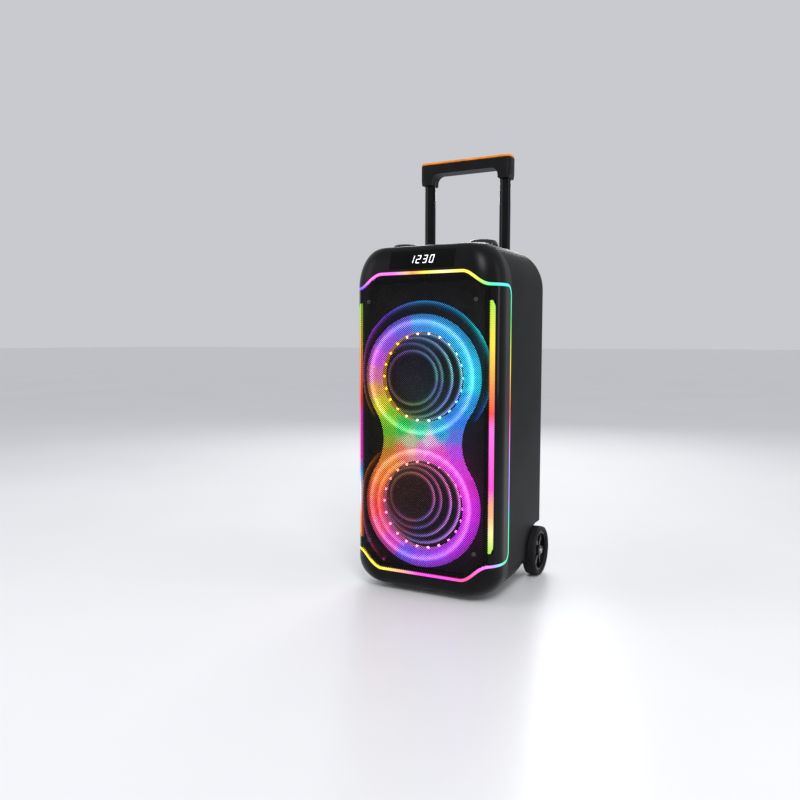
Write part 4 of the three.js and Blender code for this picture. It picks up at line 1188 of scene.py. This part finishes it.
def make_halo(name, cx, cz, radius, a0, a1, stops, centre_z, material):
    """A faint arc of light just behind the grille, outside a lobe."""
    steps, across = int((a1 - a0) / 1.5), 18
    t = np.radians(np.linspace(a0, a1, steps))[:, None]
    r = (radius + np.linspace(-15, 1.8, across)[None, :]) * MM
    a = cx * MM + r * np.cos(t)
    z = cz * MM + r * np.sin(t)
    end = FLAT + CORNER_F * BAR_ANGLE - BAR_W / 2 - 1 * MM
    a = np.clip(a, -end, end)
    piece = slab(name, a, z, 2.1 * MM, 2.7 * MM, material)
    where = place_points(piece)
    off = np.hypot(where[:, 0] - cx * MM, where[:, 2] - cz * MM) - radius * MM
    sharp = np.where(off > 0, np.exp(-(off / (0.9 * MM)) ** 2), np.exp(-np.abs(off) / (5 * MM)))
    clock = np.degrees(np.arctan2(where[:, 2] - centre_z, where[:, 0]))
    ends = np.clip(np.minimum((clock - a0) % 360, (a1 - clock) % 360) / 45, 0, 1)
    colours = lobe_colour(clock, stops) * sharp[:, None]
    colour_points(piece, colours, np.clip(sharp * ends * 0.9, 0, 1))
    return piece


LED_COLOURS = {
    "upper": [
        (90, tint("ffd0e8")), (120, tint("ffb050")), (180, tint("ffa818")),
        (240, tint("ffd840")), (270, tint("a0ffd0")), (0, tint("40e0ff")),
    ],
    "lower": [
        (90, tint("ff80a0")), (135, tint("ff9060")), (180, tint("ff70a0")),
        (270, tint("ff90e0")), (0, tint("ff50e8")),
    ],
}


def make_led_ring(place, z, stops, material):
    """The band round a driver opening, with a ring of small domes; the band's faint glow is painted light
    spill from the domes.
    """
    y = FRONT + 11.5 * MM
    r = OPENING_R
    outer, back = r + 3.5 * MM, y + 11 * MM
    profile = [(r, y), (r + 1.2 * MM, y - 0.4 * MM), (outer, y), (outer, back), (r, back)]
    parts = [lathe(f"led_band_{place}", closed(profile), "y", (0, 0, z), material, 128)]
    reach = r - LED_INSET
    for i in range(LED_COUNT):
        t = 2 * math.pi * i / LED_COUNT
        centre = (reach * math.cos(t), y + 1.5 * MM, z + reach * math.sin(t))
        bpy.ops.mesh.primitive_uv_sphere_add(segments=14, ring_count=8, radius=LED_R, location=centre)
        dome = bpy.context.active_object
        bpy.ops.object.transform_apply(location=True)
        dome.data.materials.append(material)
        shade(dome, 60)
        parts.append(dome)
    piece = merge_objects(f"led_band_{place}", parts)
    where = place_points(piece)
    clock = np.degrees(np.arctan2(where[:, 2] - z, where[:, 0]))
    edge = np.hypot(where[:, 0], where[:, 2] - z)
    # The domes glow at full strength. The band and the dome edges past the opening glow at 0.12 in the same
    # colours, which is painted light spill from the domes.
    bright = np.where(edge < r - 0.1 * MM, 1.0, 0.12)
    colour_points(piece, lobe_colour(clock, stops) * bright[:, None])
    return piece


# ---------- display ----------
SEGMENTS = {"1": "bc", "2": "abged", "3": "abgcd", "0": "abcdef"}
DIGITS = "1230"


def make_window(material):
    """The smoked pane over the display, its corners rounded."""
    cols = np.linspace(-DISPLAY_HALF, DISPLAY_HALF, 60)
    rows = np.linspace(0, 1, 26)
    r = 3 * MM
    into = np.clip((np.abs(cols) - (DISPLAY_HALF - r)) / r, 0, 1)
    inset = r * (1 - np.sqrt(1 - into**2))
    grid = skin_grid(cols, DISPLAY_LOW + inset, DISPLAY_HIGH - inset, rows)
    return slab("display_glass", *grid, 0.1 * MM, 1.6 * MM, material)


def make_digits(material):
    """Four slanted seven-segment digits on the window."""
    w, h, t, pitch = 7.2 * MM, 13.2 * MM, 1.05 * MM, 12.2 * MM
    mid = (DISPLAY_LOW + DISPLAY_HIGH) / 2
    half, bar = h / 2, t / 2
    spans = {
        "a": (-w / 2 + bar, w / 2 - bar, half - t, half),
        "g": (-w / 2 + bar, w / 2 - bar, -bar, bar),
        "d": (-w / 2 + bar, w / 2 - bar, -half, -half + t),
        "b": (w / 2 - t, w / 2, bar * 0.6, half - bar),
        "c": (w / 2 - t, w / 2, -half + bar, -bar * 0.6),
        "f": (-w / 2, -w / 2 + t, bar * 0.6, half - bar),
        "e": (-w / 2, -w / 2 + t, -half + bar, -bar * 0.6),
    }
    parts = []
    for i, digit in enumerate(DIGITS):
        centre = (i - 1.5) * pitch
        for segment in SEGMENTS[digit]:
            u0, u1, v0, v1 = spans[segment]
            v = np.array([[v0, v1], [v0, v1]])
            a = centre + np.array([[u0, u0], [u1, u1]]) + v * 0.2
            parts.append(slab("digit", a, mid + v, -0.05 * MM, 0.08 * MM, material))
    return merge_objects("display_digits", parts)


# ---------- handle ----------
TUBE_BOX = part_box("handle_tube_right")
GRIP_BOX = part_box("handle_grip")
INLAY_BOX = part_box("grip_inlay")


def upright(box):
    """The upright axis through the middle of a box, and half its width."""
    (x0, y0, _), (x1, y1, _) = box
    return ((x0 + x1) / 2, (y0 + y1) / 2, 0), (x1 - x0) / 2


def make_tube(side, material):
    """One hollow handle tube, from inside its sleeve to inside the grip."""
    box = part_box(f"handle_tube_{side}")
    axis, r = upright(box)
    z0, z1 = box[0][2], box[1][2]
    wall = 1.5 * MM
    profile = [(r - wall, z0), (r - 0.4 * MM, z0), (r, z0 + 0.4 * MM), (r, z1), (r - wall, z1)]
    return lathe(f"tube_{side}", closed(profile), "z", axis, material, 72)


def make_sleeve(side, material):
    """The fixed sleeve that a handle tube slides in."""
    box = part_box(f"handle_sleeve_{side}")
    axis, r = upright(box)
    z0, z1 = box[0][2], box[1][2]
    inner = r - 1.6 * MM
    profile = [(inner, z0), (r, z0), (r, z1 - 0.5 * MM), (r - 0.5 * MM, z1)]
    profile += [(inner + 0.3 * MM, z1), (inner, z1 - 0.3 * MM)]
    return lathe(f"sleeve_{side}", closed(profile), "z", axis, material, 72)


def make_grip(material):
    """The hand grip: a bar arched on its underside, with a lobe over each tube."""
    (x0, y0, z0), (x1, y1, z1) = GRIP_BOX
    inner = 66 * MM
    under = z0 + 20 * MM
    bend = 14 * MM
    outline = [(x0 + 3 * MM, z0)]
    outline += [(-inner - 2 * MM, z0), (-inner, z0 + 2 * MM)]
    for cx, start, end in ((-inner + bend, 180, 90), (inner - bend, 90, 0)):
        for i in range(13):
            t = math.radians(start + (end - start) * i / 12)
            outline.append((cx + bend * math.cos(t), under - bend + bend * math.sin(t)))
    outline += [(inner, z0 + 2 * MM), (inner + 2 * MM, z0), (x1 - 3 * MM, z0)]
    outline += [(x1 - 0.6 * MM, z0 + 10 * MM), (x1, z0 + 24 * MM), (x1, z1)]
    outline += [(x0, z1), (x0, z0 + 24 * MM), (x0 + 0.6 * MM, z0 + 10 * MM)]
    piece = make_object("grip_shell", *prism("y", outline, y0, y1), material)
    fix_normals(piece)
    rounded = rounded_rect(x0, y0, x1, y1, 8 * MM, 10)
    combine(piece, cut_body(*prism("z", rounded, z0 - 1 * MM, z1 + 1 * MM)), "INTERSECT")
    shade(piece, 30)
    bevel(piece, 1.6 * MM, 4, 40)
    return piece


def make_inlay(material):
    """The orange pad let into the top of the grip."""
    (x0, y0, z0), (x1, y1, z1) = INLAY_BOX
    verts, faces = prism("z", rounded_rect(x0, y0, x1, y1, 7.4 * MM, 10), z0, z1)
    piece = make_object("inlay_pad", verts, faces, material)
    fix_normals(piece)
    bevel(piece, 1.8 * MM, 5, 40)
    return piece


def cross_screw(name, x, z, y0, y1, r, material):
    """A domed screw facing the front, with a cross recess."""
    dome = [(0, y1), (r, y1), (r, y0 + 0.7 * MM), (r - 0.5 * MM, y0 + 0.2 * MM)]
    dome += [(r * 0.5, y0 + 0.02 * MM), (0, y0)]
    piece = lathe(name, dome, "y", (x, 0, z), material, 40)
    thin, long = 0.5 * MM, r * 0.62
    for dx, dz in ((thin, long), (long, thin)):
        outline = [(x - dx, z - dz), (x + dx, z - dz), (x + dx, z + dz), (x - dx, z + dz)]
        combine(piece, cut_body(*prism("y", outline, y0 - 1 * MM, y0 + 1 * MM)), "DIFFERENCE")
    shade(piece, 30)
    return piece


def make_grip_screw(sign, material):
    """The small screw in the lobe over one tube."""
    (_, y0, z0), _ = GRIP_BOX
    x = sign * (TUBE_BOX[0][0] + TUBE_BOX[1][0]) / 2
    name = "grip_screw_left" if sign < 0 else "grip_screw_right"
    return cross_screw(name, x, z0 + 13 * MM, y0 + 0.02 * MM, y0 + 1.5 * MM, 3.1 * MM, material)


def make_grille_screw(name, material):
    """A screw with a cross recess, where the CAD has a plain one."""
    (x0, y0, z0), (x1, y1, z1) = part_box(name)
    x, z, r = (x0 + x1) / 2, (z0 + z1) / 2, (x1 - x0) / 2
    return cross_screw(name + "_cross", x, z, y0, y1, r, material)


# ---------- knobs and wheels ----------
def make_knob(side, material):
    """A turned knob with a skirt, a tapering side and a dished top."""
    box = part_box(f"knob_{side}")
    axis, r = upright(box)
    z0, z1 = box[0][2], box[1][2]
    base = TOP + 0.6 * MM
    top = r - 5 * MM
    profile = [
        (0, z0), (3 * MM, z0), (3 * MM, base), (r - 0.8 * MM, base),
        (r, base + 1.2 * MM), (r, base + 1.6 * MM), (r - 1.2 * MM, z1 - 5 * MM),
        (top + 1.2 * MM, z1 - 1.4 * MM), (top, z1 - 0.4 * MM), (top - 1 * MM, z1),
        (top - 2.5 * MM, z1 - 0.2 * MM), (top - 4 * MM, z1 - 1 * MM), (0, z1 - 1.4 * MM),
    ]
    return lathe(f"dial_{side}", profile, "z", axis, material, 128, 28)


def make_dial_mark(side, material):
    """The pale line on a knob's top."""
    (x0, y0, _), (x1, _, z1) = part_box(f"knob_{side}")
    x = (x0 + x1) / 2
    outline = rounded_rect(x - 0.8 * MM, y0 + 7.4 * MM, x + 0.8 * MM, y0 + 14 * MM, 0.7 * MM, 4)
    mark = prism("z", outline, z1 - 2 * MM, z1 - 0.75 * MM)
    return make_object(f"dial_mark_{side}", *mark, material)


def make_tyre(side, material):
    """A rubber tyre with rounded shoulders and four grooves round its tread."""
    (x0, _, z0), (x1, _, z1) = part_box(f"wheel_tyre_{side}")
    r = (z1 - z0) / 2
    floor = r - 1 * MM
    # Half of the shoulder's section: how far in from the tread, how far in from the side.
    shoulder = [(r - 36.8 * MM, 2), (6 * MM, 0.4), (3 * MM, 0), (1 * MM, 1.2), (0.2 * MM, 3.4)]
    profile = [(r - drop, x0 + inward * MM) for drop, inward in shoulder]
    for i in range(4):
        at = x0 + (5 + i * 4.2) * MM
        profile += [(r, at - 0.7 * MM), (r, at)]
        profile += [(floor, at + 0.3 * MM), (floor, at + 1 * MM), (r, at + 1.3 * MM)]
    profile += [(r - drop, x1 - inward * MM) for drop, inward in shoulder[::-1]]
    return lathe(f"tyre_{side}", closed(profile), "x", WHEEL_CENTRE, material, 144, 30)


def sleeve_profile(inner, outer, lo, hi, edge):
    """The closed section of a ring whose outer edges are cut back."""
    low_half = [(inner, lo), (outer - edge, lo), (outer, lo + edge)]
    return closed(low_half + [(outer, hi - edge), (outer - edge, hi), (inner, hi)])


def make_hub(side, sign, material):
    """The spoked wheel centre: a rim, a boss, a thin web and six ribs on its outer side."""
    (x0, _, _), (x1, _, _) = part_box(f"wheel_hub_{side}")
    mid = (x0 + x1) / 2
    rim, bore, boss = 36.5 * MM, 4.3 * MM, 10 * MM
    web_out, half_web = rim - 2 * MM, 1.5 * MM
    low, high = mid - half_web, mid + half_web
    band = sleeve_profile(rim - 3.5 * MM, rim, x0, x1, 0.6 * MM)
    middle = sleeve_profile(bore, boss, x0, x1, 1 * MM)
    web = closed([(bore, low), (web_out, low), (web_out, high), (bore, high)])
    parts = [turned(section, "x", WHEEL_CENTRE, 96) for section in (band, middle, web)]
    out = mid + sign * 5.4 * MM
    lo, hi = min(mid, out), max(mid, out)
    rib = [(4, -3), (12, -3.4), (34.5, -6.5), (34.5, 1), (12, 3.4), (4, 3)]
    for i in range(6):
        t = 2 * math.pi * i / 6
        c, s = math.cos(t), math.sin(t)
        spun = [(WHEEL_Y + (u * c - v * s) * MM, WHEEL_R + (u * s + v * c) * MM) for u, v in rib]
        parts.append(prism("x", spun, lo, hi))
    piece = make_object(f"hub_{side}", *join_parts(parts), material)
    fix_normals(piece, weld=False)
    shade(piece, 30)
    bevel(piece, 0.7 * MM, 2, 40)
    return piece


# ---------- top buttons ----------
def make_symbol(index, material):
    """A plain printed mark on a button: bars, triangle, dot and ring."""
    (x0, y0, _), (x1, y1, z1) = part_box(f"top_button_{index}")
    x, y, u = (x0 + x1) / 2, (y0 + y1) / 2, 1 * MM
    lo, hi = z1 - 0.2 * MM, z1 + 0.03 * MM
    if index == 1:
        parts = []
        for sign in (-1, 1):
            left, right = x + sign * u - 0.5 * u, x + sign * u + 0.5 * u
            corners = [(left, y - 2 * u), (right, y - 2 * u), (right, y + 2 * u), (left, y + 2 * u)]
            parts.append(prism("z", corners, lo, hi))
    elif index == 2:
        parts = [prism("z", [(x - 1.6 * u, y - 2 * u), (x + 2.1 * u, y), (x - 1.6 * u, y + 2 * u)], lo, hi)]
    elif index == 3:
        parts = [turned(rod(1.7 * u, lo, hi), "z", (x, y, 0), 40)]
    else:
        ring = [(1.4 * u, lo), (2.2 * u, lo), (2.2 * u, hi), (1.4 * u, hi)]
        parts = [turned(closed(ring), "z", (x, y, 0), 40)]
    piece = make_object(f"button_mark_{index}", *join_parts(parts), material)
    fix_normals(piece)
    return piece


# ---------- materials ----------
SATIN = plastic("satin_black", (0.0035, 0.0035, 0.0042), 0.42, grain=0.07, gloss=0.06)
FRONT_SATIN = plastic("front_black", (0.0035, 0.0035, 0.0042), 0.32, grain=0.05, gloss=0.13)
PIANO = plastic("gloss_black", (0.002, 0.002, 0.0028), 0.14, grain=0.012, uneven=0.03, gloss=0.16)
SMOKED = plastic("window_black", (0.0008, 0.0008, 0.001), 0.07, grain=0.0, uneven=0.02, gloss=0.12)
DIAL = plastic("dial_black", (0.004, 0.004, 0.005), 0.2, grain=0.02, uneven=0.04, gloss=0.45)
GRIP_BLACK = plastic("grip_black", (0.005, 0.005, 0.006), 0.46, grain=0.16, gloss=0.12)
INLAY_ORANGE = plastic("orange_inlay", (0.85, 0.24, 0.012), 0.5, grain=0.12)
BUTTON_GREY = plastic("button_grey", (0.028, 0.029, 0.032), 0.42, grain=0.1)
SOCKET_BLACK = plastic("socket_black", (0.016, 0.016, 0.017), 0.4)
WHEEL_PLASTIC = plastic("wheel_plastic", (0.005, 0.005, 0.006), 0.3, grain=0.06)
RED_SWITCH = plastic("switch_red", (0.42, 0.02, 0.02), 0.34)
BATTERY = plastic("battery_blue", (0.03, 0.09, 0.32), 0.35)
BOARD = plastic("circuit_board", (0.01, 0.13, 0.05), 0.45, grain=0.2, grain_scale=500)
WOOD = plastic("baffle_wood", (0.035, 0.027, 0.02), 0.75, grain=0.4, grain_scale=300)
PAPER = plastic("cone_paper", (0.014, 0.014, 0.016), 0.65, grain=0.3, grain_scale=900)
MARK = plastic("mark_white", (0.62, 0.62, 0.64), 0.5, grain=0.05)
TYRE = rubber("tyre_black", (0.006, 0.006, 0.007))
RUBBER = rubber("rubber_black", (0.01, 0.01, 0.01), 0.8)
STEEL = metal("screw_steel", (0.3, 0.3, 0.31), 0.34)
BLACK_STEEL = metal("black_steel", (0.11, 0.11, 0.12), 0.3)
DARK_STEEL = metal("driver_metal", (0.09, 0.09, 0.1), 0.4)
CASE_STEEL = metal("case_steel", (0.5, 0.5, 0.52), 0.35)
MESH = perforated("grille_black", (0.004, 0.004, 0.005), 0.42, 2.6 * MM, 0.42)
STRIP_GLOW = glow("strip_glow", "glow", 1.3, (0.1, 0.1, 0.1))
BAR_GLOW = glow("bar_glow", "glow", 1.0, (0.06, 0.06, 0.06))
PLATE_GLOW = glow("plate_glow", "glow", 2.7, (0.02, 0.02, 0.02))
LED_GLOW = glow("led_glow", "glow", 8.0, (0.05, 0.05, 0.05))
RING_FILM = film("ring_film", 2.6)
HALO_FILM = film("halo_film", 1.5)


def digit_light(name, strength):
    """The display's white light, a little uneven."""
    look = Look(name)
    uneven = look.spread(look.noise(250, 2), strength * 0.93, strength * 1.05)
    look.set(Base_Color=(0.8, 0.8, 0.85, 1), Emission_Color=(1.0, 0.97, 1.0, 1), Roughness=0.4)
    look.link(uneven, look.shader.inputs["Emission Strength"])
    return look.material


def floor_look():
    """A plain pale floor, slightly mottled."""
    look = Look("floor_pale")
    pale = look.ramp(look.noise(1.6, 4), [(0.3, (0.8, 0.8, 0.81)), (0.7, (0.84, 0.84, 0.85))])
    look.link(pale, look.shader.inputs["Base Color"])
    look.set(Roughness=0.3)
    return look.material


# ---------- putting it together ----------
def fit(piece, body, slot, *nodes):
    """Attaches a piece to what it moves with and hides the CAD nodes it stands for. The slot is not used.
    """
    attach(piece, body)
    if nodes:
        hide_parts(*nodes)
    return piece


def add_front():
    fit(make_front_frame(FRONT_SATIN), "cabinet", "satin_black", "front_frame")
    fit(make_grille(MESH), "cabinet", "grille", "front_grille")
    fit(make_outline_strip(STRIP_GLOW), "cabinet", "light_guide", "outline_light_strip")
    for side, sign, stops in (("left", -1, BAR_COLOURS_LEFT), ("right", 1, BAR_COLOURS_RIGHT)):
        fit(make_bar(side, sign, stops, BAR_GLOW), "cabinet", "light_guide", f"light_bar_{side}")
        fit(make_cheek(side, sign, PIANO), "cabinet", "gloss_black", f"cheek_panel_{side}")
    for name in SCREWS:
        fit(make_grille_screw(name, BLACK_STEEL), "cabinet", "screw_steel", name)
    fit(make_window(SMOKED), "cabinet", "smoked_clear", "display_window")
    fit(make_digits(digit_light("digit_white", 1.5)), "cabinet", "light_guide")
    fit(make_diffuser(PLATE_GLOW), "cabinet", "light_guide", "figure_eight_diffuser")
    upper, lower = HALOS["upper"], HALOS["lower"]
    fit(make_halo("halo_upper", *upper, UPPER_LOBE, UPPER_Z, HALO_FILM), "cabinet", "light_guide")
    fit(make_halo("halo_lower", *lower, LOWER_LOBE, LOWER_Z, HALO_FILM), "cabinet", "light_guide")
    drivers = (
        ("lower", LOWER_Z, LOWER_RINGS, LOWER_LOBE),
        ("upper", UPPER_Z, UPPER_RINGS, UPPER_LOBE),
    )
    for place, z, rings, stops in drivers:
        ripple = make_ripple(place, z, rings, stops, RING_FILM)
        fit(ripple, "cabinet", "smoked_clear", f"ripple_guard_{place}")
        leds = make_led_ring(place, z, LED_COLOURS[place], LED_GLOW)
        fit(leds, "cabinet", "light_guide", f"led_ring_{place}")


def add_handle():
    for side, sign in (("left", -1), ("right", 1)):
        fit(make_tube(side, PIANO), "handle", "tube_gloss", f"handle_tube_{side}")
        fit(make_sleeve(side, DARK_STEEL), "cabinet", "sleeve_metal", f"handle_sleeve_{side}")
        fit(make_grip_screw(sign, BLACK_STEEL), "handle", "screw_steel")
    fit(make_grip(GRIP_BLACK), "handle", "grip_black", "handle_grip")
    fit(make_inlay(INLAY_ORANGE), "handle", "orange_inlay", "grip_inlay")


def add_rolling_gear():
    for side, sign in (("left", -1), ("right", 1)):
        wheel = f"wheel_{side}"
        fit(make_tyre(side, TYRE), wheel, "tyre_black", f"wheel_tyre_{side}")
        fit(make_hub(side, sign, WHEEL_PLASTIC), wheel, "wheel_plastic", f"wheel_hub_{side}")


def add_top():
    for side in ("left", "right"):
        fit(make_knob(side, DIAL), f"knob_{side}", "gloss_black", f"knob_{side}")
        fit(make_dial_mark(side, MARK), f"knob_{side}", "button_grey")
    for index in range(1, 5):
        fit(make_symbol(index, MARK), f"button_{index}", "button_grey")


# CAD nodes whose shape is right as it is: the finish of each and the width of its rounded edges.
KEPT = {
    "display_board": (BOARD, 0.1),
    "baffle_board": (WOOD, 0.6),
    "woofer_basket": (DARK_STEEL, 0.4),
    "woofer_magnet": (DARK_STEEL, 0.5),
    "woofer_cone": (PAPER, 0.0),
    "woofer_surround": (RUBBER, 0.0),
    "button_panel": (PIANO, 0.4),
    "top_button": (BUTTON_GREY, 0.6),
    "wheel_axle": (STEEL, 0.3),
    "foot": (RUBBER, 0.5),
    "rear_panel": (SOCKET_BLACK, 0.4),
    "mic_socket": (STEEL, 0.2),
    "aux_socket": (STEEL, 0.2),
    "usb_port": (CASE_STEEL, 0.2),
    "power_inlet": (SOCKET_BLACK, 0.4),
    "power_switch": (RED_SWITCH, 0.5),
    "bass_port": (SATIN, 0.2),
    "amplifier_board": (BOARD, 0.2),
    "battery_pack": (BATTERY, 2.0),
    "power_supply": (CASE_STEEL, 0.8),
}


def finish_cad_nodes():
    """Gives each kept CAD node its finish and its rounded edges."""
    for name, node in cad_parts.items():
        for start, (material, width) in KEPT.items():
            if name.startswith(start):
                node.data.materials.clear()
                node.data.materials.append(material)
                if width:
                    edge = node.modifiers.new("edge", "BEVEL")
                    edge.width = width * MM
                    edge.segments = 2
                    edge.limit_method = "ANGLE"
                    edge.angle_limit = math.radians(35)
                smooth = node.modifiers.new("smooth", "WEIGHTED_NORMAL")
                smooth.keep_sharp = True


def add_floor():
    """A wide floor just under the feet and wheels."""
    verts = [(-40, -40, -0.0005), (40, -40, -0.0005), (40, 40, -0.0005), (-40, 40, -0.0005)]
    make_object("floor", verts, [[0, 1, 2, 3]], floor_look())


add_camera()
add_studio()
add_front()
fit(make_rear_cabinet(SATIN), "cabinet", "satin_black", "rear_cabinet")
add_handle()
add_rolling_gear()
add_top()
finish_cad_nodes()
add_floor()
bpy.context.scene.view_settings.view_transform = "Standard"
